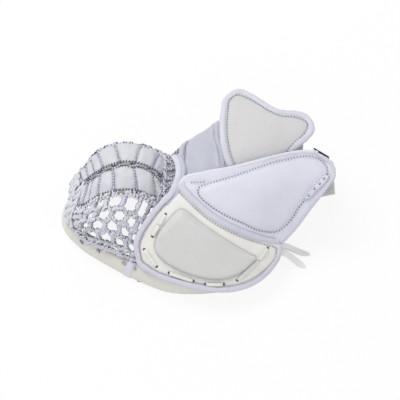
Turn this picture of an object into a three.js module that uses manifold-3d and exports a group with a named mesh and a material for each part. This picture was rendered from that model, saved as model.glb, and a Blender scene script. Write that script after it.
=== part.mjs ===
// A goalie's catch glove, laid palm down on a flat surface, in millimetres with +Z up.
// The pocket points to -X, the wrist opening to +X, the fingers to -Y and the thumb to +Y.
// Leather sheets run through rows of hand-placed points, and every layer is a patch of a sheet.

import * as THREE from 'three';
import { mergeVertices } from 'three/addons/utils/BufferGeometryUtils.js';
import Module from 'manifold-3d';

const wasm = await Module();
wasm.setup();

// Overall sizes
const gloveLength = 430;
const gloveWidth = 300;
const gloveHeight = 150;

// Gaps and cuts
const clearance = 0.4;
const overrun = 4;

// Leather, foam and board
const leatherThickness = 2.6;
const fingerFoamThickness = 9;
const cuffFoamThickness = 6;
const thumbFoamThickness = 7;
const shieldThickness = 2.2;
const linerThickness = 1.6;
const feltThickness = 6;
const flapBoardThickness = 4.5;
const padRise = 9;
const bandThickness = 17;
const bandRounding = 5;
const tapeThickness = 1.2;
const strapThickness = 5;
const strapCrown = 3;
const backingThickness = 2.4;
const palmCuffThickness = 7;

// Round edges and laces
const bindingRadius = 3.6;
const pipingRadius = 2.6;
const laceRadius = 2;
const tailRadius = 2.6;
const tabRise = 1.2;

// Pocket net
const netThickness = 4;
const netStrand = 8;
const netCell = 23;

// Wrist closure
const wristStrapThickness = 2.4;

// The grid that the tables of shares are counted in: steps along, across and up the glove
const gridAlongShare = 430;
const gridAcrossShare = 300;
const gridUpShare = 150;

// Rows of the finger side's back, from its lower edge to the seam
const fingerBackShares = [
  [[-90, 32, 50], [-61, 13, 44], [-17, 0, 40], [12, -6, 38], [42, -8, 37], [70, -2, 36], [92, 10, 36],
    [111, 29, 36], [122, 45, 38]],
  [[-95, 56, 72], [-60, 45, 71], [-15, 34, 68], [30, 27, 64], [70, 28, 57], [102, 40, 48], [125, 54, 42]],
  [[-67, 92, 104], [-35, 82, 103], [0, 66, 94], [35, 53, 82], [70, 48, 68], [100, 52, 56], [126, 61, 44]],
  [[-30, 127, 124], [-12, 109, 117], [21, 84, 102], [48, 73, 90], [80, 67.5, 72], [104, 67, 58],
    [126, 67.5, 46]],
];

// Rows of the cuff, from the seam and the heel to its upper edge
const cuffBackShares = [
  [[-30, 127, 124], [-12, 109, 117], [21, 84, 102], [48, 73, 90], [80, 67.5, 72], [104, 67, 58],
    [128, 71, 48], [158, 98, 69], [179, 120, 90], [199, 136, 107], [207, 148, 115]],
  [[-25, 134, 127], [5, 131, 127], [40, 124, 125], [80, 120, 120], [122, 126, 115], [152, 139, 114],
    [182, 149, 115], [208, 158, 119]],
  [[-19, 140, 129], [20, 146, 134], [56, 152, 137], [95, 162, 140], [135, 174, 139], [174, 181, 135],
    [190, 178, 131], [205, 167, 123]],
];

// Rows of the thumb side's back, from under the cuff over the thumb to the far edge
const thumbBackShares = [
  [[-30, 149, 121], [5, 150, 120], [40, 153, 119], [80, 160, 120], [120, 171, 120], [160, 184, 116]],
  [[-27, 176, 123], [5, 180, 122], [40, 188, 117], [80, 196, 115], [120, 203, 112], [162, 202, 110]],
  [[-25, 203, 111], [0, 218, 104], [36, 232, 99], [75, 238, 99], [120, 232, 99], [163, 217, 101]],
  [[-19, 224, 90], [4, 251, 76], [36, 274, 74], [74, 279, 78], [122, 261, 86], [164, 231, 93]],
  [[-23, 230, 42], [2, 259, 36], [36, 281, 34], [76, 285, 34], [126, 267, 36], [164, 240, 44]],
];

// Rows of the thumb flap, from its base under the cuff to its two points
const flapShares = [
  [[53, 152, 126.8], [80, 158, 128.6], [110, 167, 129.6], [138, 177, 128.6]],
  [[44, 171, 135], [76, 178, 139], [112, 187, 140], [150, 190, 137]],
  [[38, 201, 143], [80, 207, 146], [122, 209, 146], [166, 203, 142]],
  [[38, 236, 148], [78, 237, 150], [124, 228, 149], [174, 215, 145]],
  [[43, 264, 150], [59, 281, 150], [75, 276, 150], [92, 265, 150], [110, 251, 150], [125, 244, 149],
    [150, 242, 148], [166, 236, 147], [173, 225, 146]],
];

// Rows of the pocket, from the finger side's rim over the crest to the thumb side's rim
const pocketShares = [
  [[-203, 122, 34], [-190, 96, 37], [-167, 73, 38], [-135, 58, 38], [-106, 45, 38.5], [-87, 37, 42.4]],
  [[-203, 127, 44], [-183, 94, 66], [-158, 83, 86], [-130, 77, 92], [-107, 70, 80], [-86, 64, 62]],
  [[-199, 134, 56], [-176, 115, 86], [-150, 112, 111], [-121, 112, 121], [-92, 107, 111], [-64, 98, 86]],
  [[-195, 145, 66], [-169, 147, 99], [-142, 152, 124], [-112, 156, 135], [-78, 152, 128], [-50, 141, 103]],
  [[-196, 156, 60], [-172, 181, 89], [-147, 196, 112], [-112, 200, 123], [-75, 192, 119], [-45, 180, 100]],
  [[-199, 163, 46], [-178, 193, 62], [-148, 216, 76], [-108, 221, 80], [-70, 215, 80], [-41, 200, 78]],
  [[-201, 167, 34], [-182, 199, 37.8], [-150, 228, 39.8], [-108, 236, 40.8], [-68, 232, 40.8],
    [-36, 221, 42]],
];

// Rows of the outer face of the finger side's rim, from the floor to its top
const fingerRimShares = [
  [[114, 44, -2], [98, 26, -2], [74, 13, -2], [46, 7, -2], [0, 2, -2], [-48, 5, -2], [-107, 31, -2],
    [-156, 61, -2], [-186, 84, -2], [-209, 112, 6], [-212, 132, 17], [-208, 143, 25]],
  [[114, 45, 16], [98, 27, 16], [74, 14, 16], [46, 7, 17], [0, 2, 18], [-48, 6, 19], [-107, 33, 19],
    [-156, 63, 19], [-187, 87, 18], [-210, 114, 20], [-212, 132, 28], [-207, 143, 34]],
  [[113, 48, 34], [98, 31, 33], [74, 18, 33], [46, 12, 34], [0, 8, 36], [-48, 13, 38], [-104, 40, 38],
    [-152, 68, 38], [-182, 92, 36], [-203, 117, 36], [-206, 133, 40], [-203, 143, 43]],
];

// Rows of the outer face of the thumb side's rim, from the floor to its top
const thumbRimShares = [
  [[-206, 172, 16], [-192, 200, 3], [-156, 236, -2], [-108, 247, -2], [-68, 243, -2], [-34, 240, -2],
    [0, 266, -2], [36, 285, -2], [76, 288, -2], [124, 270, -2], [154, 246, -2]],
  [[-205, 172, 27], [-191, 199, 20], [-156, 235, 19], [-108, 246, 19], [-68, 242, 19], [-34, 239, 19],
    [0, 265, 19], [36, 284, 19], [76, 287, 19], [124, 269, 19], [154, 245, 19]],
  [[-201, 169, 37], [-185, 196, 36], [-152, 229, 38], [-108, 240, 39], [-68, 236, 39], [-34, 233, 38],
    [0, 259, 37], [36, 278, 36], [76, 281, 37], [122, 263, 38], [152, 239, 40]],
];

// Rows of the palm's two halves, each from -Y to +Y; the fold lies between them
const fingerPalmShares = [
  [[-80, 44, 18], [-50, 28, 15], [0, 20, 14], [47, 23, 14], [82, 38, 14], [102, 60, 16]],
  [[-66, 88, 60], [-30, 80, 54], [10, 78, 46], [50, 80, 40], [86, 87, 34], [109, 99, 31]],
  [[-50, 134, 88], [-20, 136, 80], [20, 138, 66], [60, 139, 55], [95, 136, 46], [116, 128, 41]],
];
const thumbPalmShares = [
  [[-36, 166, 88], [-8, 168, 82], [30, 172, 70], [70, 177, 60], [108, 184, 52], [138, 188, 46]],
  [[-34, 190, 58], [-4, 200, 52], [34, 207, 46], [78, 210, 40], [114, 208, 34], [142, 202, 30]],
  [[-30, 216, 20], [0, 240, 16], [34, 262, 13], [76, 266, 13], [118, 250, 14], [143, 226, 16]],
];

// Rows of the leather that bridges the fold inside, above both halves of the palm
const foldShares = [
  [[-48, 126, 96.8], [-18, 126, 87.8], [20, 128, 73.8], [60, 129, 62.8], [94, 127, 53.8]],
  [[-48, 147, 106], [-18, 148, 98], [20, 150, 84], [60, 152, 74], [94, 152, 66]],
  [[-46, 168, 98], [-16, 170, 91], [22, 174, 79], [62, 178, 69], [96, 180, 62]],
];

// Rows of the cuff's palm side, from the heel side to the thumb side
const palmCuffShares = [
  [[114.8, 98.8, 33], [150, 117, 40], [182, 150, 38], [212, 164, 32]],
  [[134, 118, 31], [166, 152, 29], [190, 178, 32], [213, 182, 38]],
  [[154, 148, 29], [175, 184, 36], [192, 206, 48], [207, 204, 56]],
];

// Rows of the wrist strap, up from the palm side's edge, and of its end, which folds back down
const wristStrapShares = [
  [[205, 203, 60], [203, 208, 71], [200, 207, 84], [197, 201, 95]],
  [[187, 207, 53], [184, 211, 69], [181, 210, 87], [178, 203, 102]],
];
const strapEndShares = [
  [[197, 202.4, 96], [200, 208.4, 85], [202, 209.4, 75], [204, 208.4, 66]],
  [[178, 204.4, 103], [181, 211.4, 88], [184, 212.4, 75], [187, 210.4, 62]],
];

// Routes of the two lace tails, chosen as a cord's route, from the heel to their tips
const tailRouteA = [
  [122, 66, 41.2], [126.6, 68.4, 38.8], [131, 70.4, 35], [135.6, 72, 30.8], [140.4, 73.2, 25.6],
  [145.8, 73.9, 19.6], [149, 74.5, 15.8], [152.2, 75, 12.2], [155.4, 75.3, 8.8], [158.6, 75.4, 6],
  [161.8, 75.2, 4.2], [165, 74.8, 3.2], [168, 74.2, 2.8], [171, 73.5, 2.8], [173.8, 72.8, 2.8],
];
const tailRouteB = [
  [119, 58, 39.6], [123.6, 59.4, 37.4], [128, 60.4, 34], [132.4, 60.8, 30.6], [136.8, 60.8, 26.6],
  [141.6, 60.2, 21.6], [144.6, 59.6, 17.8], [147.6, 58.9, 14], [150.6, 58.1, 10.4], [153.6, 57.1, 7.4],
  [156.6, 55.9, 5.2], [159.4, 54.6, 3.8], [162, 53.2, 3], [164.4, 51.7, 2.8], [166.6, 50.2, 2.8],
];

// Outline of the finger pad and its middle, as shares of the finger back's u and v
const padOutlineShares = [
  [0.155, 0.8], [0.12, 0.58], [0.119, 0.406], [0.155, 0.26], [0.242, 0.175], [0.393, 0.122], [0.553, 0.125],
  [0.66, 0.17], [0.725, 0.25], [0.77, 0.36], [0.785, 0.47], [0.7, 0.63], [0.54, 0.73], [0.36, 0.79],
];
const padMiddleShare = [0.44, 0.42];

// Ends of each stretch of edge lace, as shares of the finger back's u and v
const laceShares = [
  [[0.082, 0.667], [0.087, 0.56]],
  [[0.087, 0.535], [0.087, 0.438]],
  [[0.059, 0.269], [0.137, 0.11]],
  [[0.224, 0.082], [0.379, 0.059]],
  [[0.461, 0.05], [0.575, 0.068]],
  [[0.671, 0.105], [0.82, 0.31]],
  [[0.855, 0.42], [0.895, 0.7]],
];

// Steps of the finger rim's grid that lie before and after the tape
const tapeInsetShares = [16, 11, 0, 0];

// The stitched tab near the cuff's end, as shares of the cuff's u and v
const tabMiddleShare = [0.915, 0.4];
const tabHalfShare = [0.035, 0.26];

const colours = {
  leather: 0xd9d9e6, cream: 0xe4e1d6, pad: 0xd3d3d2, binding: 0xdfdfec, lace: 0xd5d6dd, foam: 0xcfcfc8,
  felt: 0xb9b9b4, board: 0x34353a, webbing: 0x1f1f22, lining: 0x9a9aa2,
};

// A point from a row of grid shares
function place([along, across, up]) {
  return new THREE.Vector3(
    (along / gridAlongShare) * gloveLength,
    (across / gridAcrossShare - 0.5) * gloveWidth,
    (up / gridUpShare) * gloveHeight,
  );
}

// A curved sheet through rows of points: u runs along the rows and v across them.
// Its layers share one grid of columns and rows, so their facets lie parallel.
class Sheet {
  constructor(rowShares, grid) {
    this.grid = grid;
    this.rows = rowShares.map((row) => new THREE.CatmullRomCurve3(row.map(place), false, 'centripetal'));
  }

  point(u, v) {
    const across = this.rows.map((row) => row.getPointAt(THREE.MathUtils.clamp(u, 0, 1)));
    return new THREE.CatmullRomCurve3(across).getPoint(THREE.MathUtils.clamp(v, 0, 1));
  }

  // Directions along u and v, and the outward normal
  frame(u, v) {
    const step = 0.01;
    const low = { u: Math.max(u - step, 0), v: Math.max(v - step, 0) };
    const high = { u: Math.min(u + step, 1), v: Math.min(v + step, 1) };
    const along = this.point(high.u, v).sub(this.point(low.u, v)).normalize();
    const across = this.point(u, high.v).sub(this.point(u, low.v)).normalize();
    const normal = new THREE.Vector3().crossVectors(along, across).normalize();
    return { along, across, normal };
  }

  raised(u, v, height) {
    return this.point(u, v).addScaledVector(this.frame(u, v).normal, height);
  }

  // A point just outside the sheet's edge, level with the given height
  beyond(u, v, distance, height) {
    const { along, across, normal } = this.frame(u, v);
    const outward = new THREE.Vector3();
    if (u <= 0) outward.sub(along);
    if (u >= 1) outward.add(along);
    if (v <= 0) outward.sub(across);
    if (v >= 1) outward.add(across);
    return this.point(u, v).addScaledVector(outward.normalize(), distance).addScaledVector(normal, height);
  }
}

// Geometry from points and triangles
function surface(points, triangles) {
  const geometry = new THREE.BufferGeometry();
  const numbers = points.flatMap((point) => [point.x, point.y, point.z]);
  geometry.setAttribute('position', new THREE.Float32BufferAttribute(numbers, 3));
  geometry.setIndex(triangles.flat());
  return geometry;
}

// Removes everything but merged positions
function bare(geometry) {
  geometry.deleteAttribute('normal');
  geometry.deleteAttribute('uv');
  return mergeVertices(geometry);
}

function toSolid(geometry) {
  const merged = bare(geometry.clone());
  const mesh = new wasm.Mesh({
    numProp: 3,
    vertProperties: new Float32Array(merged.attributes.position.array),
    triVerts: new Uint32Array(merged.index.array),
  });
  mesh.merge();
  return new wasm.Manifold(mesh);
}

function toGeometry(solid) {
  const mesh = solid.getMesh();
  const geometry = new THREE.BufferGeometry();
  geometry.setAttribute('position', new THREE.Float32BufferAttribute(Array.from(mesh.vertProperties), 3));
  geometry.setIndex(Array.from(mesh.triVerts));
  return geometry;
}

// Cuts the tools out of a body and keeps its largest piece
function carve(geometry, ...tools) {
  const cut = tools.reduce((body, tool) => body.subtract(toSolid(tool)), toSolid(geometry));
  const pieces = cut.decompose().sort((a, b) => b.volume() - a.volume());
  return toGeometry(pieces[0]);
}

// Trims what reaches below the floor, which leaves a flat sole
function trimAtFloor(geometry) {
  const block = new THREE.BoxGeometry(gloveLength * 2, gloveWidth * 2, gloveHeight);
  block.translate(0, 0, -gloveHeight / 2);
  return carve(geometry, block);
}

const level = (value) => (typeof value === 'function' ? value : () => value);

// A closed layer of a sheet between two heights, set in from its edges by steps of the sheet's grid
function layer(sheet, { low, high, inset = [0, 0, 0, 0] }) {
  const [start, end, near, far] = inset;
  const [wide, deep] = sheet.grid;
  return patch(sheet, {
    u: [start / wide, 1 - end / wide],
    v: [near / deep, 1 - far / deep],
    low,
    high,
    cells: [wide - start - end, deep - near - far],
  });
}

// A closed layer over a range of u and v
function patch(sheet, { u = [0, 1], v = [0, 1], low, high, cells }) {
  const [columns, rows] = cells;
  const stride = rows + 1;
  const points = [];
  for (const height of [level(high), level(low)]) {
    for (let i = 0; i <= columns; i += 1) {
      for (let j = 0; j <= rows; j += 1) {
        const a = THREE.MathUtils.lerp(u[0], u[1], i / columns);
        const b = THREE.MathUtils.lerp(v[0], v[1], j / rows);
        points.push(sheet.raised(a, b, height(i / columns, j / rows)));
      }
    }
  }
  const under = (columns + 1) * stride;
  const triangles = [];
  const quad = (a, b, c, d) => triangles.push([a, b, c], [a, c, d]);
  for (let i = 0; i < columns; i += 1) {
    for (let j = 0; j < rows; j += 1) {
      const a = i * stride + j;
      quad(a, a + stride, a + stride + 1, a + 1);
      quad(under + a, under + a + 1, under + a + stride + 1, under + a + stride);
    }
  }
  const rim = [];
  for (let i = 0; i < columns; i += 1) rim.push(i * stride);
  for (let j = 0; j < rows; j += 1) rim.push(columns * stride + j);
  for (let i = columns; i > 0; i -= 1) rim.push(i * stride + rows);
  for (let j = rows; j > 0; j -= 1) rim.push(j);
  rim.forEach((a, k) => {
    const b = rim[(k + 1) % rim.length];
    quad(b, a, under + a, under + b);
  });
  return surface(points, triangles);
}

// A round tube along a curve through points
function tube(points, radius, { sides = 8, steps = points.length * 2 } = {}) {
  const section = new THREE.Shape();
  for (let k = 0; k < sides; k += 1) {
    const angle = (k / sides) * Math.PI * 2;
    section[k ? 'lineTo' : 'moveTo'](radius * Math.cos(angle), radius * Math.sin(angle));
  }
  section.closePath();
  const path = new THREE.CatmullRomCurve3(points);
  return bare(new THREE.ExtrudeGeometry(section, { steps, bevelEnabled: false, extrudePath: path }));
}

// Points just outside a sheet's edge, walked through corners given in u and v
function edgeWalk(sheet, corners, spacing, distance, height) {
  const points = [];
  for (let k = 0; k < corners.length - 1; k += 1) {
    const [from, to] = [corners[k], corners[k + 1]];
    const span = Math.hypot(to[0] - from[0], to[1] - from[1]);
    const count = Math.max(Math.round(span / spacing), 1);
    for (let i = k ? 1 : 0; i <= count; i += 1) {
      const u = THREE.MathUtils.lerp(from[0], to[0], i / count);
      const v = THREE.MathUtils.lerp(from[1], to[1], i / count);
      points.push(sheet.beyond(u, v, distance, height));
    }
  }
  return points;
}

// A crowned pad on a sheet, inside an outline given in u and v
function crownedPad(sheet, outlineShares, middleShare, base, rise, rings = 5, sectors = 26) {
  const outline = new THREE.CatmullRomCurve3(outlineShares.map(([u, v]) => new THREE.Vector3(u, v, 0)), true);
  const points = [];
  const add = (reach, sector, height) => {
    const edge = outline.getPointAt(sector / sectors);
    const u = THREE.MathUtils.lerp(middleShare[0], edge.x, reach);
    const v = THREE.MathUtils.lerp(middleShare[1], edge.y, reach);
    points.push(sheet.raised(u, v, height));
  };
  add(0, 0, base + rise);
  for (let ring = 1; ring <= rings; ring += 1) {
    const reach = ring / rings;
    const crown = Math.sqrt(1 - (reach * 0.97) ** 4);
    for (let sector = 0; sector < sectors; sector += 1) add(reach, sector, base + rise * crown);
  }
  add(0, 0, base);
  for (let sector = 0; sector < sectors; sector += 1) add(1, sector, base);
  const triangles = [];
  const bottomMiddle = 1 + rings * sectors;
  const turns = outlineTurn(outlineShares);
  const face = (a, b, c) => triangles.push(turns > 0 ? [a, b, c] : [a, c, b]);
  for (let sector = 0; sector < sectors; sector += 1) {
    const next = (sector + 1) % sectors;
    face(0, 1 + sector, 1 + next);
    for (let ring = 0; ring < rings - 1; ring += 1) {
      const inner = 1 + ring * sectors;
      const outer = inner + sectors;
      face(inner + sector, outer + sector, outer + next);
      face(inner + sector, outer + next, inner + next);
    }
    const last = 1 + (rings - 1) * sectors;
    const foot = bottomMiddle + 1;
    face(last + sector, foot + sector, foot + next);
    face(last + sector, foot + next, last + next);
    face(bottomMiddle, foot + next, foot + sector);
  }
  return surface(points, triangles);
}

// Positive when an outline in u and v turns left
function outlineTurn(outlineShares) {
  return outlineShares.reduce((sum, [u, v], k) => {
    const [nextU, nextV] = outlineShares[(k + 1) % outlineShares.length];
    return sum + (u * nextV - nextU * v);
  }, 0);
}

// A knotted net on a sheet: staggered six-sided openings between flat strands
function net(sheet, { u, v, columns, rows, low, high }) {
  const bendShare = 0.17;
  const openShare = 1 - netStrand / netCell;
  const points = [];
  const triangles = [];
  const known = new Map();
  const used = new Map();
  const corner = (c, r) => {
    const key = `${c.toFixed(4)},${r.toFixed(4)}`;
    if (!known.has(key)) {
      const a = THREE.MathUtils.lerp(u[0], u[1], c / columns);
      const b = THREE.MathUtils.lerp(v[0], v[1], r / rows);
      known.set(key, points.length);
      points.push(sheet.raised(a, b, high), sheet.raised(a, b, low));
    }
    return known.get(key);
  };
  const quad = (a, b, c, d) => triangles.push([a, b, c], [a, c, d]);
  const shift = (row, isCorner) => {
    if (row === 0 || row === rows) return 0;
    return isCorner ? bendShare : -bendShare;
  };
  for (let row = 0; row < rows; row += 1) {
    const offset = (row % 2) * 0.5;
    for (let column = 0; column <= columns; column += 1) {
      const left = Math.max(column - offset, 0);
      const right = Math.min(column + 1 - offset, columns);
      if (right - left < 0.25) continue;
      const whole = right - left > 0.75;
      const middle = column + 0.5 - offset;
      const lower = row + shift(row, true);
      const upper = row + 1 - shift(row + 1, true);
      const outline = [[left, lower], [right, lower], [right, upper], [left, upper]];
      if (whole) {
        outline.splice(3, 0, [middle, row + 1 - shift(row + 1, false)]);
        outline.splice(1, 0, [middle, row + shift(row, false)]);
      }
      const centre = [(left + right) / 2, row + 0.5];
      const inner = outline.map(([c, r]) => [
        THREE.MathUtils.lerp(centre[0], c, openShare * (whole ? 1 : 0.8)),
        THREE.MathUtils.lerp(centre[1], r, openShare),
      ]);
      outline.forEach((from, k) => {
        const next = (k + 1) % outline.length;
        const [a, b] = [corner(...from), corner(...outline[next])];
        const [c, d] = [corner(...inner[next]), corner(...inner[k])];
        quad(a, b, c, d);
        quad(d + 1, c + 1, b + 1, a + 1);
        quad(d, c, c + 1, d + 1);
        used.set(`${a},${b}`, [a, b]);
      });
    }
  }
  for (const [a, b] of used.values()) {
    if (!used.has(`${b},${a}`)) quad(b, a, a + 1, b + 1);
  }
  return surface(points, triangles);
}

// Sheets of the glove
const fingerBack = new Sheet(fingerBackShares, [12, 7]);
const cuffBack = new Sheet(cuffBackShares, [14, 5]);
const thumbBack = new Sheet(thumbBackShares, [9, 8]);
const flapSheet = new Sheet(flapShares, [12, 5]);
const pocket = new Sheet(pocketShares, [28, 24]);
const fingerRim = new Sheet(fingerRimShares, [28, 4]);
const thumbRim = new Sheet(thumbRimShares, [26, 4]);
const fingerPalm = new Sheet(fingerPalmShares, [7, 6]);
const thumbPalm = new Sheet(thumbPalmShares, [7, 8]);
const foldSheet = new Sheet(foldShares, [6, 4]);
const palmCuff = new Sheet(palmCuffShares, [8, 6]);
const wristSheet = new Sheet(wristStrapShares, [8, 2]);
const strapEndSheet = new Sheet(strapEndShares, [8, 2]);

const glove = new THREE.Group();

function add(name, geometry, colour, roughness = 0.6, metalness = 0) {
  const material = new THREE.MeshStandardMaterial({ color: colour, roughness, metalness });
  const mesh = new THREE.Mesh(geometry, material);
  mesh.name = name;
  glove.add(mesh);
}

// Bindings and piping, made first because the panels are cut back from them
const half = -leatherThickness / 2;
const seamLine = (radius) => {
  const stations = Array.from({ length: 13 }, (_, k) => fingerBack.point(k / 12, 1));
  const last = stations[12].clone().sub(stations[11]).setLength(overrun);
  const lead = radius > pipingRadius ? [stations[0].clone().add(stations[0]).sub(stations[1])] : [];
  const tail = radius > pipingRadius ? [stations[12].clone().add(last)] : [];
  return tube([...lead, ...stations, ...tail], radius, { steps: 22 });
};
const fingerEdge = (radius) => tube(
  edgeWalk(fingerBack, [[0, 1], [0, 0], [1, 0]], 0.11, 0, half),
  radius,
  { steps: 44 },
);
const cuffEdge = (radius) => tube(
  edgeWalk(cuffBack, [[0, 1], [1, 1], [1, 0], [0.66, 0]], 0.1, 0, half),
  radius,
  { steps: 40 },
);
const thumbEdge = (radius) => tube(
  edgeWalk(thumbBack, [[0, 0.04], [0, 1]], 0.13, 0, half),
  radius,
  { steps: 18 },
);
const flapHalf = (leatherThickness + flapBoardThickness) / 2;
const flapEdge = (radius) => tube(
  edgeWalk(flapSheet, [[0, 0.1], [0, 1], [1, 1], [1, 0.1]], 0.09, 0, -flapHalf),
  radius,
  { steps: 46 },
);
const flapBindingRadius = flapHalf + clearance;

// The finger side: panel, pad, foam and lining
add('finger_back_panel', carve(
  layer(fingerBack, { low: -leatherThickness, high: 0 }),
  seamLine(pipingRadius + clearance),
  fingerEdge(bindingRadius + clearance),
), colours.cream, 0.5);
add('finger_back_pad', carve(
  crownedPad(fingerBack, padOutlineShares, padMiddleShare, half, padRise - half),
  layer(fingerBack, { low: -leatherThickness, high: clearance }),
), colours.pad);
add('finger_foam', layer(fingerBack, {
  low: -leatherThickness - clearance - fingerFoamThickness,
  high: -leatherThickness - clearance,
  inset: [1, 1, 1, 1],
}), colours.foam, 0.9);
add('finger_lining', layer(fingerBack, {
  low: -leatherThickness - 2 * clearance - fingerFoamThickness - linerThickness,
  high: -leatherThickness - 2 * clearance - fingerFoamThickness,
  inset: [2, 2, 1, 1],
}), colours.lining, 0.95);
add('finger_binding', carve(fingerEdge(bindingRadius), seamLine(pipingRadius + clearance)), colours.binding);
add('seam_piping', seamLine(pipingRadius), colours.binding);

// Edge lace: each stretch rises from one eyelet and dives into the next
laceShares.forEach(([from, to], k) => {
  const stations = Array.from({ length: 7 }, (_, i) => {
    const u = THREE.MathUtils.lerp(from[0], to[0], i / 6);
    const v = THREE.MathUtils.lerp(from[1], to[1], i / 6);
    const lift = laceRadius + clearance + (laceRadius / 2) * Math.sin((i / 6) * Math.PI);
    return fingerBack.raised(u, v, lift);
  });
  add(`edge_lace_${k + 1}`, tube(stations, laceRadius, { sides: 6, steps: 6 }), colours.lace, 0.7);
});

// The cuff: panel, stiff foam, binding, lining and the stitched tab
add('cuff_panel', carve(
  layer(cuffBack, { low: -leatherThickness, high: 0 }),
  seamLine(pipingRadius + clearance),
  fingerEdge(bindingRadius + clearance),
  cuffEdge(bindingRadius + clearance),
), colours.leather, 0.45);
add('cuff_binding', carve(
  cuffEdge(bindingRadius),
  seamLine(pipingRadius + clearance),
  fingerEdge(bindingRadius + clearance),
), colours.binding);
add('cuff_foam', layer(cuffBack, {
  low: -leatherThickness - clearance - cuffFoamThickness,
  high: -leatherThickness - clearance,
  inset: [3, 1, 1, 1],
}), colours.foam, 0.9);
add('cuff_stiffener', layer(cuffBack, {
  low: -leatherThickness - 2 * clearance - cuffFoamThickness - shieldThickness,
  high: -leatherThickness - 2 * clearance - cuffFoamThickness,
  inset: [4, 2, 1, 1],
}), colours.board, 0.4);
add('cuff_tab', carve(
  crownedPad(
    cuffBack,
    Array.from({ length: 10 }, (_, k) => [
      tabMiddleShare[0] + tabHalfShare[0] * Math.cos((k / 10) * Math.PI * 2),
      tabMiddleShare[1] + tabHalfShare[1] * Math.sin((k / 10) * Math.PI * 2),
    ]),
    tabMiddleShare,
    -leatherThickness / 2,
    tabRise + leatherThickness / 2,
    2,
    18,
  ),
  layer(cuffBack, { low: -leatherThickness, high: clearance }),
), colours.leather);

// The thumb side: panel, foam, hard shield and binding
add('thumb_panel', carve(
  layer(thumbBack, { low: -leatherThickness, high: 0 }),
  thumbEdge(bindingRadius + clearance),
), colours.leather, 0.45);
add('thumb_binding', thumbEdge(bindingRadius), colours.binding);
add('thumb_foam', layer(thumbBack, {
  low: -leatherThickness - clearance - thumbFoamThickness,
  high: -leatherThickness - clearance,
  inset: [1, 1, 1, 2],
}), colours.foam, 0.9);
add('thumb_shield', layer(thumbBack, {
  low: -leatherThickness - 2 * clearance - thumbFoamThickness - shieldThickness,
  high: -leatherThickness - 2 * clearance - thumbFoamThickness,
  inset: [1, 1, 2, 3],
}), colours.board, 0.4);

// The flap over the thumb's base: face, board and rolled edge
add('thumb_flap_face', carve(
  layer(flapSheet, { low: -leatherThickness, high: 0 }),
  flapEdge(flapBindingRadius + clearance),
), colours.cream, 0.5);
add('thumb_flap_board', carve(
  layer(flapSheet, {
    low: -leatherThickness - clearance - flapBoardThickness,
    high: -leatherThickness - clearance,
  }),
  flapEdge(flapBindingRadius + clearance),
), colours.foam, 0.8);
add('thumb_flap_binding', flapEdge(flapBindingRadius), colours.binding);

// The rims that the glove stands on, and the tape round the finger side's rim
const rounded = (v) => bandRounding * (2 * v - 1) ** 4;
const rimBody = { low: (u, v) => rounded(v), high: (u, v) => bandThickness - rounded(v) };
const rimSpace = {
  low: (u, v) => rounded(v) - clearance,
  high: (u, v) => bandThickness - rounded(v) + clearance,
};
add('finger_rim', trimAtFloor(layer(fingerRim, rimBody)), colours.cream, 0.5);
add('thumb_rim', trimAtFloor(layer(thumbRim, rimBody)), colours.cream, 0.5);
add('rim_tape', trimAtFloor(layer(fingerRim, {
  low: (u, v) => rounded(v) - clearance - tapeThickness,
  high: (u, v) => rounded(v) - clearance,
  inset: tapeInsetShares,
})), colours.binding);

// The palm's two halves and the leather inside the fold
const palmLayers = [
  ['palm_leather', 0, leatherThickness, colours.cream],
  ['palm_felt', leatherThickness + clearance, leatherThickness + clearance + feltThickness, colours.felt],
];
palmLayers.forEach(([name, low, high, colour]) => {
  add(`finger_${name}`, carve(layer(fingerPalm, { low, high }), layer(fingerRim, rimSpace)), colour, 0.7);
  add(`thumb_${name}`, carve(layer(thumbPalm, { low, high }), layer(thumbRim, rimSpace)), colour, 0.7);
});
add('fold_leather', layer(foldSheet, { low: 0, high: leatherThickness }), colours.leather);

// The pocket: two rows of leather cells, their backing and the net on both sides
const cellCrown = (count) => (u, v) => {
  const swell = Math.abs(Math.sin(u * count * Math.PI)) ** 0.6;
  return strapThickness / 2 + strapCrown * swell * (1 - (2 * v - 1) ** 4);
};
const stemRow = { finger: [0.345, 0.4965], thumb: [0.5035, 0.66] };
const stemReach = [0.1, 0.97];
for (const side of ['finger', 'thumb']) {
  add(`stem_row_${side}`, patch(pocket, {
    u: stemReach, v: stemRow[side], low: -strapThickness / 2, high: cellCrown(7), cells: [28, 4],
  }), colours.leather);
}
add('stem_backing', patch(pocket, {
  u: stemReach,
  v: stemRow.finger,
  low: -strapThickness / 2 - clearance - backingThickness,
  high: -strapThickness / 2 - clearance,
  cells: [28, 4],
}), colours.cream);
add('pocket_net_finger', net(pocket, {
  u: [0.06, 0.998], v: [0, 0.341], columns: 6, rows: 5, low: -netThickness / 2, high: netThickness / 2,
}), colours.lace);
add('pocket_net_thumb', net(pocket, {
  u: [0.06, 0.98], v: [0.664, 1], columns: 6, rows: 4, low: -netThickness / 2, high: netThickness / 2,
}), colours.lace);

// The cuff's palm side and the strap that closes the wrist
add('palm_cuff', layer(palmCuff, { low: 0, high: palmCuffThickness }), colours.cream);
add('wrist_strap', layer(wristSheet, { low: 0, high: wristStrapThickness }), colours.webbing, 0.9);
add('strap_end', layer(strapEndSheet, { low: 0, high: wristStrapThickness }), colours.webbing, 0.9);

// Lace tails that hang from the heel and lie on the floor
const tailPoint = ([x, y, z]) => new THREE.Vector3(x, y - gloveWidth / 2, z);
add('lace_tail_a', tube(tailRouteA.map(tailPoint), tailRadius, { steps: 20 }), colours.lace);
add('lace_tail_b', tube(tailRouteB.map(tailPoint), tailRadius, { steps: 20 }), colours.lace);

// The origin is the middle of the glove's footprint, on the floor
const box = new THREE.Box3().setFromObject(glove);
glove.position.set(-(box.min.x + box.max.x) / 2, -(box.min.y + box.max.y) / 2, -box.min.z);

export default glove;
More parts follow.
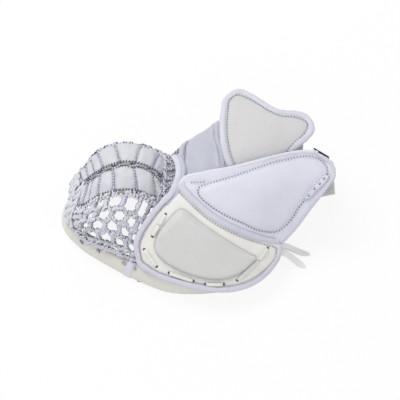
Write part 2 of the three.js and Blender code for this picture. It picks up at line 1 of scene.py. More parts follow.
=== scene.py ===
"""Builds the looks of a goalie's catch glove round its packed construction model.

Sheets, routes and outlines are in plan millimetres, as the construction has them: X towards the wrist
opening, Y from the fingers towards the thumb, Z up from the floor. Finished pieces are in metres, in the
model's own frame.
"""

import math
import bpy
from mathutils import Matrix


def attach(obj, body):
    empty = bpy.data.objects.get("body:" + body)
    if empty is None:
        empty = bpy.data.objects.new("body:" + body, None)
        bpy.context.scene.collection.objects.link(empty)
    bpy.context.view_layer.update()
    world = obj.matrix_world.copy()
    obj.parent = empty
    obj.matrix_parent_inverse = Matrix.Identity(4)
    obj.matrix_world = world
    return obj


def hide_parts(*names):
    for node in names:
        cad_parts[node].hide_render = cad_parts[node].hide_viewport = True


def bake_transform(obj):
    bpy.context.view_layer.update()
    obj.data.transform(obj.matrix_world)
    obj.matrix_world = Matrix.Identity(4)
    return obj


bl_info = {
    "name": "Catch Glove",
    "version": (1, 0, 0),
    "blender": (4, 5, 0),
    "location": "View3D > Sidebar > Catch Glove",
    "description": "Leather, lacing and stitching of a goalie's catch glove",
    "category": "Mesh",
}

import bmesh
import bpy
import numpy as np
from bpy.props import FloatProperty, FloatVectorProperty, PointerProperty
from bpy.types import Operator, Panel, PropertyGroup
from mathutils import Vector

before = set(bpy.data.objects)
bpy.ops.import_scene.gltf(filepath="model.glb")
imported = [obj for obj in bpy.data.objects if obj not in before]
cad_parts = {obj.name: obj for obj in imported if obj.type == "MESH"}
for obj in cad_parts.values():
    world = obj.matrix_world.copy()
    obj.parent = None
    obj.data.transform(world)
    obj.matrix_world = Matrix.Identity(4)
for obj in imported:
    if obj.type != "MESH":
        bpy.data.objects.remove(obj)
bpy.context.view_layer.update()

MM = 0.001

# Where the construction's plan has its zero, seen from the frame's origin
PLAN_ORIGIN = np.array([1.0711, 138.7288, 0.0])

# How the camera and the lights stand
VIEW_ELEVATION = math.radians(60)
VIEW_TARGET = Vector((0.0016, -0.0006, 0.060))
VIEW_DISTANCE = 5
VIEW_LENS, VIEW_SENSOR = 290.3, 36.0
LAMP_TARGET = Vector((0, 0, 0.06))
LAMPS = (("key_light", (-1.2, 1.0, 2.8), 49.0, 1.6), ("fill_light", (0.8, -2.4, 1.7), 9.0, 2.2))
WHITE = (1.0, 1.0, 1.0, 1.0)
SKY_LIGHT = 0.66
FLOOR_WHITENESS = 0.88

# Layers of the construction that the pieces follow
LEATHER = 2.6
CLEARANCE = 0.4
FINGER_FOAM = 9.0
CUFF_FOAM = 6.0
THUMB_FOAM = 7.0
LINER = 1.6
FELT = 6.0
FLAP_BOARD = 4.5
BAND = 17.0
BAND_ROUNDING = 5.0
TAPE = 1.2
PALM_CUFF = 7.0
WEBBING = 2.4

# Plan Y over which the pocket and the fold, the crotch's rolls and its lacing turn from the hand's side to the
# thumb's side; the pieces take these spans, but nothing bends them
POCKET_FLEX = (100.0, 220.0)
ROLL_FLEX = (124.0, 156.0)
LACING_FLEX = (110.0, 200.0)


def curve(points, t, closed=False):
    """Places at t, from 0 to 1, on a centripetal curve through points, one set for all or one for each t"""
    points = np.asarray(points, float)
    t = np.asarray(t, float)
    count = len(points)
    if points.ndim == 2:
        points = np.broadcast_to(points[:, None], (count, len(t), points.shape[1]))
    spans = count if closed else count - 1
    first = np.minimum((t * spans).astype(int), spans - 1)
    share = (t * spans - first)[:, None]
    pick = np.arange(len(t))
    if closed:
        a, b, c, d = (points[(first + k) % count, pick] for k in (-1, 0, 1, 2))
    else:
        ends = 2 * points[:1] - points[1:2], 2 * points[-1:] - points[-2:-1]
        longer = np.concatenate([ends[0], points, ends[1]])
        a, b, c, d = (longer[first + k, pick] for k in range(4))
    pairs = ((a, b), (b, c), (c, d))
    ab, bc, cd = (np.sqrt(np.maximum(np.linalg.norm(q - p, axis=1), 1e-8))[:, None] for p, q in pairs)
    start = ((b - a) / ab - (c - a) / (ab + bc) + (c - b) / bc) * bc
    stop = ((c - b) / bc - (d - b) / (bc + cd) + (d - c) / cd) * bc
    return (b + start * share + (3 * (c - b) - 2 * start - stop) * share**2
            + (2 * (b - c) + start + stop) * share**3)


def lengths(points):
    """How far along a line each of its points lies"""
    steps = np.linalg.norm(np.diff(points, axis=0), axis=1)
    return np.concatenate([[0.0], np.cumsum(steps)])


def unit(vectors):
    return vectors / np.maximum(np.linalg.norm(vectors, axis=-1, keepdims=True), 1e-9)


def resampled(points, step, *others):
    """The line again with its points about a step apart, with other values at the same places"""
    reach = lengths(points)
    places = np.linspace(0, reach[-1], max(int(reach[-1] / step + 0.5), 2) + 1)
    made = []
    for values in (points, *others):
        made.append(np.stack([np.interp(places, reach, column) for column in np.asarray(values).T], axis=-1))
    return made if others else made[0]


def heading(line):
    """Directions along a line"""
    return unit(np.gradient(line, axis=0))


def beside(line, ups):
    """Directions across a line, square to its outward directions"""
    return np.cross(heading(line), ups)


class Sheet:
    """A curved sheet through rows of points: u runs along the rows by length, and v across them"""

    LENGTH_STEPS = 200
    SLOPE_STEP = 0.01

    def __init__(self, rows):
        self.rows = [np.array(row, float) for row in rows]
        self.steps = np.linspace(0, 1, self.LENGTH_STEPS + 1)
        self.reaches = [lengths(curve(row, self.steps)) for row in self.rows]

    def at(self, u, v):
        u, v = np.broadcast_arrays(np.asarray(u, float), np.asarray(v, float))
        along, across = np.clip(u.ravel(), 0, 1), np.clip(v.ravel(), 0, 1)
        marks = [curve(row, np.interp(along * reach[-1], reach, self.steps))
                 for row, reach in zip(self.rows, self.reaches)]
        return curve(np.stack(marks), across).reshape(*u.shape, 3)

    def outward(self, u, v):
        """Directions square to the sheet"""
        u, v = np.broadcast_arrays(np.asarray(u, float), np.asarray(v, float))
        step = self.SLOPE_STEP
        along = unit(self.at(u + step, v) - self.at(u - step, v))
        across = unit(self.at(u, v + step) - self.at(u, v - step))
        return unit(np.cross(along, across))

    def raised(self, u, v, height):
        return self.at(u, v) + self.outward(u, v) * np.asarray(height, float)[..., None]

    def walk(self, shares, step, closed=False, straight=False):
        """Shares about a step apart along a line through shares of the sheet"""
        shares = np.asarray(shares, float)
        if straight:
            walked = lengths(shares)
            places = np.linspace(0, walked[-1], 40 * len(shares))
            fine = np.stack([np.interp(places, walked, column) for column in shares.T], axis=-1)
        else:
            fine = curve(shares, np.linspace(0, 1, 24 * len(shares) + 1), closed)
        return resampled(self.at(*fine.T), step, fine)[1]

    def track(self, shares, step, height, **ways):
        """Places and outward directions along a line through shares of the sheet"""
        fine = self.walk(shares, step, **ways).T
        return self.raised(*fine, height), self.outward(*fine)

    def inset(self, shares, distance):
        """Shares of a line that were on the sheet's edge, drawn in from it by a distance"""
        u, v = np.asarray(shares, float).T
        step = self.SLOPE_STEP
        near_u, near_v = np.clip(u, step, 1 - step), np.clip(v, step, 1 - step)
        wide = np.linalg.norm(self.at(near_u + step, v) - self.at(near_u - step, v), axis=1) / (2 * step)
        deep = np.linalg.norm(self.at(u, near_v + step) - self.at(u, near_v - step), axis=1) / (2 * step)
        return np.stack([np.clip(u, distance / wide, 1 - distance / wide),
                         np.clip(v, distance / deep, 1 - distance / deep)], axis=-1)


def edge_walk(corners, spacing):
    """Shares along a sheet's edge, walked through its corners"""
    walked = [corners[0]]
    for (u, v), (next_u, next_v) in zip(corners, corners[1:]):
        count = max(int(math.hypot(next_u - u, next_v - v) / spacing + 0.5), 1)
        for step in range(1, count + 1):
            walked.append((u + (next_u - u) * step / count, v + (next_v - v) * step / count))
    return np.array(walked)


def edge_track(sheet, corners, spacing, height, step=1.5):
    """Places and outward directions of a line that rounds the corners of a sheet's edge"""
    u, v = edge_walk(corners, spacing).T
    t = np.linspace(0, 1, 30 * len(u))
    line, ups = curve(sheet.raised(u, v, height), t), curve(sheet.outward(u, v), t)
    line, ups = resampled(line, step, ups)
    return line, unit(ups)


def distance_to(points, line):
    """How far each point lies from a line"""
    flat = points.reshape(-1, 3)
    nearest = np.empty(len(flat))
    block = 4000
    for first in range(0, len(flat), block):
        part = flat[first:first + block]
        nearest[first:first + block] = np.sqrt(((part[:, None] - line[None]) ** 2).sum(axis=2)).min(axis=1)
    return nearest.reshape(points.shape[:-1])


def ripple(points, seed, length, waves=7):
    """Soft unevenness between about -1 and 1"""
    dice = np.random.default_rng(seed)
    total = np.zeros(points.shape[:-1])
    for _ in range(waves):
        way = unit(dice.normal(size=3)) * (2 * math.pi / (length * dice.uniform(0.6, 1.6)))
        total += np.sin(points @ way + dice.uniform(0, 2 * math.pi))
    return total / math.sqrt(waves)


def crowded(count, share=0.8):
    """Steps from 0 to 1 that lie closer together near both ends"""
    t = np.linspace(0, 1, count + 1)
    return t - share * np.sin(2 * math.pi * t) / (2 * math.pi)


def eased(distance, radius):
    """Rises from 0 to 1 as a quarter circle over a radius"""
    share = np.clip(distance / radius, 0, 1)
    return np.sqrt(1 - (1 - share) ** 2)


def ends_eased(run, radius):
    """Rises from 0 to 1 from both ends of a line, whose points lie run along it"""
    return eased(np.minimum(run, run[-1] - run), radius)


def wall_distance(along, across):
    """How far each point of a grid lies from the grid's nearest edge"""
    return np.minimum.reduce([along, along[-1:] - along, across, across[:, -1:] - across])


class Build:
    """Collects the points, faces and painted values of one piece"""

    def __init__(self):
        self.points, self.faces, self.paints, self.count = [], [], [], 0

    def add(self, points, faces, **paints):
        points = np.asarray(points, float).reshape(-1, 3)
        for block in faces:
            self.faces.extend((np.asarray(block) + self.count).tolist())
        self.paints.append({name: np.broadcast_to(np.ravel(value) if np.ndim(value) else value, len(points))
                            for name, value in paints.items()})
        self.points.append(points)
        self.count += len(points)
        return self

    def piece(self, name, finish, body=None, node=None, sharp=50.0, flex=POCKET_FLEX):
        """Makes the object, which may take a construction node's place; without a body it is baked in place,
        and the plan Y of flex bends nothing"""
        mesh = bpy.data.meshes.new(name)
        mesh.from_pydata(((np.concatenate(self.points) - PLAN_ORIGIN) * MM).tolist(), [], self.faces)
        for paint in sorted({key for block in self.paints for key in block}):
            layer = mesh.attributes.new(paint, "FLOAT", "POINT")
            values = [block.get(paint, np.zeros(len(points)))
                      for block, points in zip(self.paints, self.points)]
            layer.data.foreach_set("value", np.concatenate(values).astype(np.float32))
        tidy = bmesh.new()
        tidy.from_mesh(mesh)
        bmesh.ops.recalc_face_normals(tidy, faces=tidy.faces)
        tidy.to_mesh(mesh)
        tidy.free()
        mesh.polygons.foreach_set("use_smooth", np.ones(len(mesh.polygons), bool))
        mesh.set_sharp_from_angle(angle=math.radians(sharp))
        mesh.materials.append(material(finish))
        made = bpy.data.objects.new(name, mesh)
        bpy.context.scene.collection.objects.link(made)
        if node:
            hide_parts(node)
        if body:
            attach(made, body)
        else:
            start, end = ((0, (y - PLAN_ORIGIN[1]) * MM, 0) for y in flex)
            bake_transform(made)
            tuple(start)
            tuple(end)
        return made


def grid_faces(columns, rows, start=0):
    """Faces of a grid of points, column by column"""
    corner = (np.arange(columns - 1)[:, None] * rows + np.arange(rows - 1)[None]).ravel() + start
    return np.stack([corner, corner + rows, corner + rows + 1, corner + 1], axis=-1)


def slab(build, top, under, shade=0.0):
    """A closed layer between two grids of points"""
    columns, rows = top.shape[:2]
    count = columns * rows
    rim = np.concatenate([
        np.arange(columns - 1) * rows, (columns - 1) * rows + np.arange(rows - 1),
        np.arange(columns - 1, 0, -1) * rows + rows - 1, np.arange(rows - 1, 0, -1),
    ])
    after = np.roll(rim, -1)
    sides = np.stack([after, rim, rim + count, after + count], axis=-1)
    return build.add(np.concatenate([top.reshape(-1, 3), under.reshape(-1, 3)]),
                     [grid_faces(columns, rows), grid_faces(columns, rows, count)[:, ::-1], sides],
                     shade=np.tile(np.ravel(np.broadcast_to(shade, (columns, rows))), 2))


def panel(build, sheet, cells, low, high, u=(0.0, 1.0), v=(0.0, 1.0), rounding=0.0, shade=None, floor=None):
    """A closed layer of a sheet; low and high are heights, or functions of the points, u and v"""
    us, vs = (first + (last - first) * crowded(count) for (first, last), count in zip((u, v), cells))
    us, vs = np.meshgrid(us, vs, indexing="ij")
    base, normals = sheet.at(us, vs), sheet.outward(us, vs)
    heights = [value(base, us, vs) if callable(value) else np.full(us.shape, float(value))
               for value in (low, high)]
    if rounding:
        along = np.cumsum(np.linalg.norm(np.diff(base, axis=0, prepend=base[:1]), axis=2), axis=0)
        across = np.cumsum(np.linalg.norm(np.diff(base, axis=1, prepend=base[:, :1]), axis=2), axis=1)
        middle, thick = (heights[0] + heights[1]) / 2, (heights[1] - heights[0]) / 2
        thick = thick * (0.12 + 0.88 * eased(wall_distance(along, across), rounding))
        heights = [middle - thick, middle + thick]
    under, top = (base + normals * height[..., None] for height in heights)
    if floor is not None:
        for layer in (under, top):
            layer[..., 2] = np.maximum(layer[..., 2], floor)
    return slab(build, top, under, shade(base) if shade else 0.0)


def ring_faces(count, sides, lengthways=False):
    """Faces between rings of points, with each face's first edge round the ring or lengthways"""
    ring = np.arange(count - 1)[:, None] * sides
    step, after = np.arange(sides), (np.arange(sides) + 1) % sides
    corners = [ring + step, ring + after, ring + sides + after, ring + sides + step]
    if lengthways:
        corners[1], corners[3] = corners[3], corners[1]
    return np.stack(corners, axis=-1).reshape(-1, 4)


def capped(rings, tips, lengthways=False):
    """Points and faces of a closed form through rings of points, with a tip for each end"""
    count, sides = rings.shape[:2]
    step, after = np.arange(sides), (np.arange(sides) + 1) % sides
    last = (count - 1) * sides
    front = np.stack([np.full(sides, count * sides), after, step], axis=-1)
    back = np.stack([np.full(sides, count * sides + 1), last + step, last + after], axis=-1)
    return np.concatenate([rings.reshape(-1, 3), tips]), [ring_faces(count, sides, lengthways), front, back]


def sweep(build, line, ups, half_width, half_height, sides=12, power=2.0, shade=0.0):
    """A bar with rounded ends along a line, with its wide way flat to the directions ups"""
    line, ups = np.asarray(line, float), np.broadcast_to(np.asarray(ups, float), np.shape(line))
    run, tangents, count = lengths(line), heading(line), len(line)
    wide, high = (np.broadcast_to(np.asarray(half, float), count) for half in (half_width, half_height))
    turns = np.radians([15.0, 40.0, 65.0])
    front = line[0] - tangents[0] * (min(wide[0], high[0]) * np.cos(turns))[:, None]
    back = line[-1] + tangents[-1] * (min(wide[-1], high[-1]) * np.cos(turns[::-1]))[:, None]
    line = np.concatenate([front, line, back])
    scale = np.concatenate([np.sin(turns), np.ones(count), np.sin(turns[::-1])])
    run, tangents, ups, wide, high = (
        np.concatenate([np.repeat(values[:1], 3, axis=0), values, np.repeat(values[-1:], 3, axis=0)])
        for values in (run, tangents, ups, wide, high))
    sideways = unit(np.cross(tangents, ups))
    upright = np.cross(sideways, tangents)
    angle = np.arange(sides) / sides * 2 * math.pi
    across, rise = (np.sign(way) * np.abs(way) ** (2 / power) for way in (np.cos(angle), np.sin(angle)))
    rings = (line[:, None] + sideways[:, None] * (across[None] * (wide * scale)[:, None])[..., None]
             + upright[:, None] * (rise[None] * (high * scale)[:, None])[..., None])
    points, faces = capped(rings, [rings[0].mean(axis=0), rings[-1].mean(axis=0)], lengthways=True)
    side = np.concatenate([np.tile(np.cos(angle), len(line)), np.zeros(2)])
    return build.add(points, faces, run=np.concatenate([np.repeat(run, sides), np.full(2, run[-1])]),
                     side=side, shade=shade)


def bead(sides, rings):
    """Points and faces of a rounded bead, one unit in each half width"""
    turns = np.linspace(0, math.pi, rings + 2)[1:-1]
    angle = np.arange(sides) / sides * 2 * math.pi
    bulge = np.sin(turns) ** 0.7
    return capped(np.stack([np.outer(np.cos(turns), np.ones(sides)), np.outer(bulge, np.cos(angle)),
                            np.outer(bulge, np.sin(angle))], axis=-1), [[1, 0, 0], [-1, 0, 0]])


def turned(profile, sides):
    """Points and faces of a closed turned shape; the profile holds radius and height pairs"""
    angle = np.arange(sides) / sides * 2 * math.pi
    radius, height = np.array(profile, float).T
    return capped(np.stack([np.outer(radius, np.cos(angle)), np.outer(radius, np.sin(angle)),
                            np.outer(height, np.ones(sides))], axis=-1),
                  [[0, 0, height[0]], [0, 0, height[-1]]])


def stamp(build, shape, places, along, ups, scale=(1.0, 1.0, 1.0)):
    """Copies of a small shape at places, with its first axis along a direction and its third up"""
    points, faces = shape
    along, ups = (np.broadcast_to(np.asarray(way, float), np.shape(places)) for way in (along, ups))
    sideways = unit(np.cross(ups, along))
    front = unit(np.cross(sideways, ups))
    local = points * np.asarray(scale, float)
    for place, first, second, third in zip(places, front, sideways, ups):
        build.add(place + local[:, :1] * first + local[:, 1:2] * second + local[:, 2:] * third, faces)
    return build


def stitches(build, line, ups, pitch, size, lean):
    """A row of stitches along a line; lean turns each one across the row, in degrees"""
    line, ups = resampled(line, pitch, ups)
    line, ups = (line[1:] + line[:-1]) / 2, unit(ups[1:] + ups[:-1])
    tangents = heading(line)
    turn = math.radians(lean)
    along = tangents * math.cos(turn) + np.cross(ups, tangents) * math.sin(turn)
    stamp(build, bead(6, 4), line, along, ups, size)


class Socket:
    """A shader socket that takes part in Python sums, each of which adds its Math node"""

    def __init__(self, nodes, socket):
        self.nodes, self.socket = nodes, socket

    def _math(self, operation, *values):
        return self.nodes.add("ShaderNodeMath", {"operation": operation}, dict(enumerate(values)))

    def __add__(self, other):
        return self._math("ADD", self, other)

    __radd__ = __add__

    def __sub__(self, other):
        return self._math("SUBTRACT", self, other)

    def __rsub__(self, other):
        return self._math("SUBTRACT", other, self)

    def __mul__(self, other):
        return self._math("MULTIPLY", self, other)

    __rmul__ = __mul__

    def __mod__(self, other):
        return self._math("FLOORED_MODULO", self, other)

    def __abs__(self):
        return self._math("ABSOLUTE", self)

    def sine(self):
        return self._math("SINE", self)

    def clamped(self):
        return self.nodes.add("ShaderNodeClamp", {}, {0: self})

    def between(self, low, high):
        """0 below low, 1 above high and smooth between them"""
        return self.nodes.add("ShaderNodeMapRange", {"interpolation_type": "SMOOTHSTEP"},
                              {0: self, 1: low, 2: high})


def opaque(colour, share=1.0):
    """A colour, or a darker share of it, as a socket takes it"""
    return tuple(value * share for value in colour[:3]) + (1.0,)


class Nodes:
    """A node tree while its nodes are made"""

    def __init__(self, tree):
        self.tree = tree
        tree.nodes.clear()

    def add(self, kind, settings, values, output=0):
        """Makes a node: its settings first, then the values or links of its sockets"""
        node = self.tree.nodes.new(kind)
        for key, value in settings.items():
            setattr(node, key, value)
        for key, value in values.items():
            if isinstance(value, Socket):
                self.tree.links.new(value.socket, node.inputs[key])
            else:
                node.inputs[key].default_value = value
        return Socket(self, node.outputs[output])

    def place(self):
        return self.add("ShaderNodeTexCoord", {}, {}, "Object")

    def painted(self, name):
        return self.add("ShaderNodeAttribute", {"attribute_name": name}, {}, "Fac")

    def noise(self, size, detail=3.0, rough=0.5, stretch=(1.0, 1.0, 1.0)):
        """Noise with features of a size in millimetres"""
        spot = self.add("ShaderNodeVectorMath", {"operation": "MULTIPLY"}, {0: self.place(), 1: stretch})
        return self.add("ShaderNodeTexNoise", {}, {"Vector": spot, "Scale": 1 / (size * MM),
                                                   "Detail": detail, "Roughness": rough})

    def cells(self, size, feature="F1"):
        """Distance to the cells of a crackle with a size in millimetres"""
        return self.add("ShaderNodeTexVoronoi", {"feature": feature},
                        {"Vector": self.place(), "Scale": 1 / (size * MM)}, "Distance")

    def seen(self):
        """1 where the camera sees a surface, straight or in gloss or glass"""
        path = self.tree.nodes.new("ShaderNodeLightPath")
        rays = [Socket(self, path.outputs[name])
                for name in ("Is Camera Ray", "Is Glossy Ray", "Is Transmission Ray")]
        return (rays[0] + rays[1] + rays[2]).clamped()

    def mix(self, share, first, second):
        """Mixes two colours"""
        return self.add("ShaderNodeMix", {"data_type": "RGBA"}, {0: share, 6: first, 7: second}, 2)

    def toned(self, share, colour, darkest):
        """Mixes a colour with a darker share of it"""
        return self.mix(share, opaque(colour), opaque(colour, darkest))

    def bump(self, height, depth, before=None):
        """Turns heights from 0 to 1 into a bump of a depth in millimetres"""
        values = {"Strength": 1.0, "Distance": depth * MM, "Height": height}
        if before is not None:
            values["Normal"] = before
        return self.add("ShaderNodeBump", {}, values)

    def surface(self, tint, rough, normal, **constants):
        values = {"Base Color": tint, "Roughness": rough, "Normal": normal, **constants}
        return self.add("ShaderNodeBsdfPrincipled", {}, values)

    def end(self, kind, shader):
        """Makes the tree's output node"""
        node = self.tree.nodes.new(kind)
        self.tree.links.new(shader.socket, node.inputs[0])


def leather(nodes, colour, grain=1.2, crease=14.0, gloss=0.46, depth=0.16, tired=0.12):
    """Coated leather: a fine pebbled grain, soft creases, clouded colour and scuffs, and painted shade where a
    seam draws it in
    """
    seam_shade = nodes.painted("shade")
    clouds = nodes.noise(crease * 3, 3.0, 0.6)
    fine = nodes.noise(crease / 4, 4.0, 0.65)
    pebbles = nodes.cells(grain)
    folds = nodes.noise(crease, 3.0, 0.6)
    cracks = nodes.cells(crease * 0.8, "DISTANCE_TO_EDGE")
    scuffs = nodes.noise(crease / 2.2, 5.0, 0.7, (1.0, 0.35, 1.0)).between(0.6, 0.72)
    # The shade attribute is painted shade along seams, grooves and edges; it joins the leather's clouding, worn
    # patches and scuffs to darken the colour
    wear_and_seam_shade = (seam_shade * 0.7 + fine.between(0.5, 0.8) * tired + clouds.between(0.4, 0.7) * tired
            + pebbles.between(0.35, 0.75) * 0.06 + scuffs * tired * 0.8).clamped()
    normal = nodes.bump(folds, 0.9)
    normal = nodes.bump(cracks.between(0.0, 0.12) * folds, 0.06, normal)
    normal = nodes.bump(pebbles, depth, normal)
    rough = gloss + fine * 0.12 + scuffs * 0.14 + seam_shade * 0.12
    return nodes.surface(nodes.toned(wear_and_seam_shade, colour, 0.62), rough, normal,
                         **{"Specular IOR Level": 0.45, "Coat Weight": 0.06, "Coat Roughness": 0.35})


def lacing(nodes, colour, fleck, pitch=5.4, edge=0.5, strength=0.92):
    """Flat woven lace with flecks of a darker thread along both edges"""
    run, side = nodes.painted("run"), abs(nodes.painted("side"))
    wobble = nodes.noise(2.2, 2.0)
    slant = (run + side * (pitch * 0.7) + wobble * 1.1) % pitch
    dashes = slant.between(pitch * 0.5, pitch * 0.58) * side.between(edge, edge + 0.14)
    weave = (run * (2 * math.pi / 0.9) + side * 9.0).sine() * 0.5 + 0.5
    worn = nodes.noise(5.0, 3.0, 0.6)
    flecked = (dashes * strength * worn.between(0.25, 0.5)).clamped()
    ground = nodes.toned((worn.between(0.45, 0.8) * 0.3 + weave * 0.12).clamped(), colour, 0.6)
    return nodes.surface(nodes.mix(flecked, ground, opaque(fleck)), 0.72 + worn * 0.12, nodes.bump(weave, 0.09),
                         **{"Sheen Weight": 0.15, "Sheen Roughness": 0.5})


def woven(nodes, colour, size=1.3, depth=0.12, gloss=0.85):
    """Plain cloth or webbing, with ribs both ways"""
    x, z = (nodes.add("ShaderNodeSeparateXYZ", {}, {0: nodes.place()}, axis) for axis in (0, 2))
    turn = 2 * math.pi / (size * MM)
    ribs = (x * turn).sine() * (z * turn).sine() * 0.5 + 0.5
    fuzz = nodes.noise(size * 4, 3.0, 0.6)
    return nodes.surface(nodes.toned((ribs * 0.35 + fuzz * 0.3).clamped(), colour, 0.55), gloss + fuzz * 0.1,
                         nodes.bump(ribs, depth), **{"Sheen Weight": 0.2})


def matted(nodes, colour, size=1.6, depth=0.25, gloss=0.9):
    """Felt, foam or board: an even body with a pitted skin"""
    pits = nodes.noise(size, 5.0, 0.7)
    patches = nodes.noise(size * 12, 2.0)
    return nodes.surface(nodes.toned((pits.between(0.35, 0.7) * 0.35 + patches * 0.2).clamped(), colour, 0.65),
                         gloss - pits * 0.1, nodes.bump(pits, depth))


def thread(nodes, colour):
    """Waxed sewing thread with its twist"""
    wax = nodes.noise(0.9, 2.0)
    return nodes.surface(nodes.toned(wax.between(0.3, 0.7) * 0.5, colour, 0.5), 0.6 + wax * 0.1,
                         nodes.bump(wax, 0.1))


# Each finish: its material slot, how it is made, its colour among the glove's colours, and its settings
FINISHES = {
    "cream_leather": ("cream_leather", leather, "cream", {}),
    "white_leather": ("white_leather", leather, "white", {"crease": 20.0, "gloss": 0.42, "depth": 0.12}),
    # The thumb side's leather is the cuff's white leather painted darker, painted shade for its lower light
    "thumb_leather": ("white_leather", leather, "thumb", {"crease": 16.0, "gloss": 0.42, "depth": 0.12}),
    # The rims' leather is the cream leather made darker and yellower; the darkening is painted shade for the
    # rims' low faces
    "rim_leather": ("cream_leather", leather, "rim", {"crease": 22.0, "gloss": 0.5, "tired": 0.16}),
    "flap_leather": ("cream_leather", leather, "flap", {"crease": 24.0, "gloss": 0.46, "tired": 0.08}),
    "row_leather": ("white_leather", leather, "row", {"crease": 10.0, "gloss": 0.42}),
    "pad_leather": ("pad_leather", leather, "pad", {"grain": 0.9, "gloss": 0.52, "tired": 0.07}),
    "binding": ("binding", leather, "binding", {"grain": 0.9, "crease": 7.0, "gloss": 0.4, "depth": 0.09}),
    "lace": ("lace", lacing, "lace", {"edge": 0.54, "pitch": 5.0, "strength": 1.0}),
    "white_lace": ("lace", leather, "white_lace", {"grain": 0.9, "crease": 8.0, "gloss": 0.55, "tired": 0.16}),
    "dark_lace": ("lace", lacing, "lace", {"edge": 0.0, "pitch": 4.2, "strength": 1.0}),
    "plain_lace": ("lace", leather, "plain_lace", {"grain": 0.6, "crease": 9.0, "gloss": 0.6, "depth": 0.05}),
    "waxed_lace": ("lace", leather, "cream", {"grain": 0.6, "crease": 5.0, "gloss": 0.5, "depth": 0.06}),
    "thread": ("lace", thread, "thread", {}),
    "pale_thread": ("lace", thread, "pale_thread", {}),
    # Near black, painted shadow for the inside of eyelets and holes
    "hole": ("board", matted, "hole", {"depth": 0.05}),
    # Cream leather in the shade behind the pocket's rows, painted as a dark colour
    "backing": ("cream_leather", leather, "backing", {"gloss": 0.6}),
    "foam": ("foam", matted, "foam", {}),
    "felt": ("felt", matted, "felt", {"size": 2.4, "depth": 0.4}),
    "lining": ("lining", woven, "lining", {}),
    "board": ("board", matted, "board", {"size": 0.8, "depth": 0.03, "gloss": 0.5}),
    "webbing": ("webbing", woven, "webbing", {"size": 1.8, "depth": 0.3}),
}


def material(finish):
    """The Blender material of a finish, made once"""
    made = bpy.data.materials.get("finished_" + finish)
    if made is None:
        _, recipe, colour, settings = FINISHES[finish]
        colours = bpy.context.scene.catch_glove_colours
        made = bpy.data.materials.new("finished_" + finish)
        made.use_nodes = True
        nodes = Nodes(made.node_tree)
        shades = [getattr(colours, colour)]
        if recipe is lacing:
            shades.append(colours.fleck)
        nodes.end("ShaderNodeOutputMaterial", recipe(nodes, *[tuple(shade) for shade in shades], **settings))
    return made


# Where the finger side meets the cuff
SEAM_MARKS = [(-30, 127, 124), (-12, 109, 117), (21, 84, 102), (48, 73, 90), (80, 67.5, 72), (104, 67, 58)]

# Rows of points of the glove's sheets
FINGER_BACK = Sheet([
    [(-90, 32, 50), (-61, 13, 44), (-17, 0, 40), (12, -6, 38), (42, -8, 37), (70, -2, 36), (92, 10, 36),
        (111, 29, 36), (122, 45, 38)],
    [(-95, 56, 72), (-60, 45, 71), (-15, 34, 68), (30, 27, 64), (70, 28, 57), (102, 40, 48), (125, 54, 42)],
    [(-67, 92, 104), (-35, 82, 103), (0, 66, 94), (35, 53, 82), (70, 48, 68), (100, 52, 56), (126, 61, 44)],
    SEAM_MARKS + [(126, 67.5, 46)],
])
CUFF_BACK = Sheet([
    SEAM_MARKS + [(128, 71, 48), (158, 98, 69), (179, 120, 90), (199, 136, 107), (207, 148, 115)],
    [(-25, 134, 127), (5, 131, 127), (40, 124, 125), (80, 120, 120), (122, 126, 115), (152, 139, 114),
        (182, 149, 115), (208, 158, 119)],
    [(-19, 140, 129), (20, 146, 134), (56, 152, 137), (95, 162, 140), (135, 174, 139), (174, 181, 135),
        (190, 178, 131), (205, 167, 123)],
])
THUMB_BACK = Sheet([
    [(-30, 149, 121), (5, 150, 120), (40, 153, 119), (80, 160, 120), (120, 171, 120), (160, 184, 116)],
    [(-27, 176, 123), (5, 180, 122), (40, 188, 117), (80, 196, 115), (120, 203, 112), (162, 202, 110)],
    [(-25, 203, 111), (0, 218, 104), (36, 232, 99), (75, 238, 99), (120, 232, 99), (163, 217, 101)],
    [(-19, 224, 90), (4, 251, 76), (36, 274, 74), (74, 279, 78), (122, 261, 86), (164, 231, 93)],
    [(-23, 230, 42), (2, 259, 36), (36, 281, 34), (76, 285, 34), (126, 267, 36), (164, 240, 44)],
])
FLAP = Sheet([
    [(53, 152, 126.8), (80, 158, 128.6), (110, 167, 129.6), (138, 177, 128.6)],
    [(44, 171, 135), (76, 178, 139), (112, 187, 140), (150, 190, 137)],
    [(38, 201, 143), (80, 207, 146), (122, 209, 146), (166, 203, 142)],
    [(38, 236, 148), (78, 237, 150), (124, 228, 149), (174, 215, 145)],
    [(43, 264, 150), (59, 281, 150), (75, 276, 150), (92, 265, 150), (110, 251, 150), (125, 244, 149),
        (150, 242, 148), (166, 236, 147), (173, 225, 146)],
])
POCKET = Sheet([
    [(-203, 122, 34), (-190, 96, 37), (-167, 73, 38), (-135, 58, 38), (-106, 45, 38.5), (-87, 37, 42.4)],
    [(-203, 127, 44), (-183, 94, 66), (-158, 83, 86), (-130, 77, 92), (-107, 70, 80), (-86, 64, 62)],
    [(-199, 134, 56), (-176, 115, 86), (-150, 112, 111), (-121, 112, 121), (-92, 107, 111), (-64, 98, 86)],
    [(-195, 145, 66), (-169, 147, 99), (-142, 152, 124), (-112, 156, 135), (-78, 152, 128), (-50, 141, 103)],
    [(-196, 156, 60), (-172, 181, 89), (-147, 196, 112), (-112, 200, 123), (-75, 192, 119), (-45, 180, 100)],
    [(-199, 163, 46), (-178, 193, 62), (-148, 216, 76), (-108, 221, 80), (-70, 215, 80), (-41, 200, 78)],
    [(-201, 167, 34), (-182, 199, 37.8), (-150, 228, 39.8), (-108, 236, 40.8), (-68, 232, 40.8),
        (-36, 221, 42)],
])
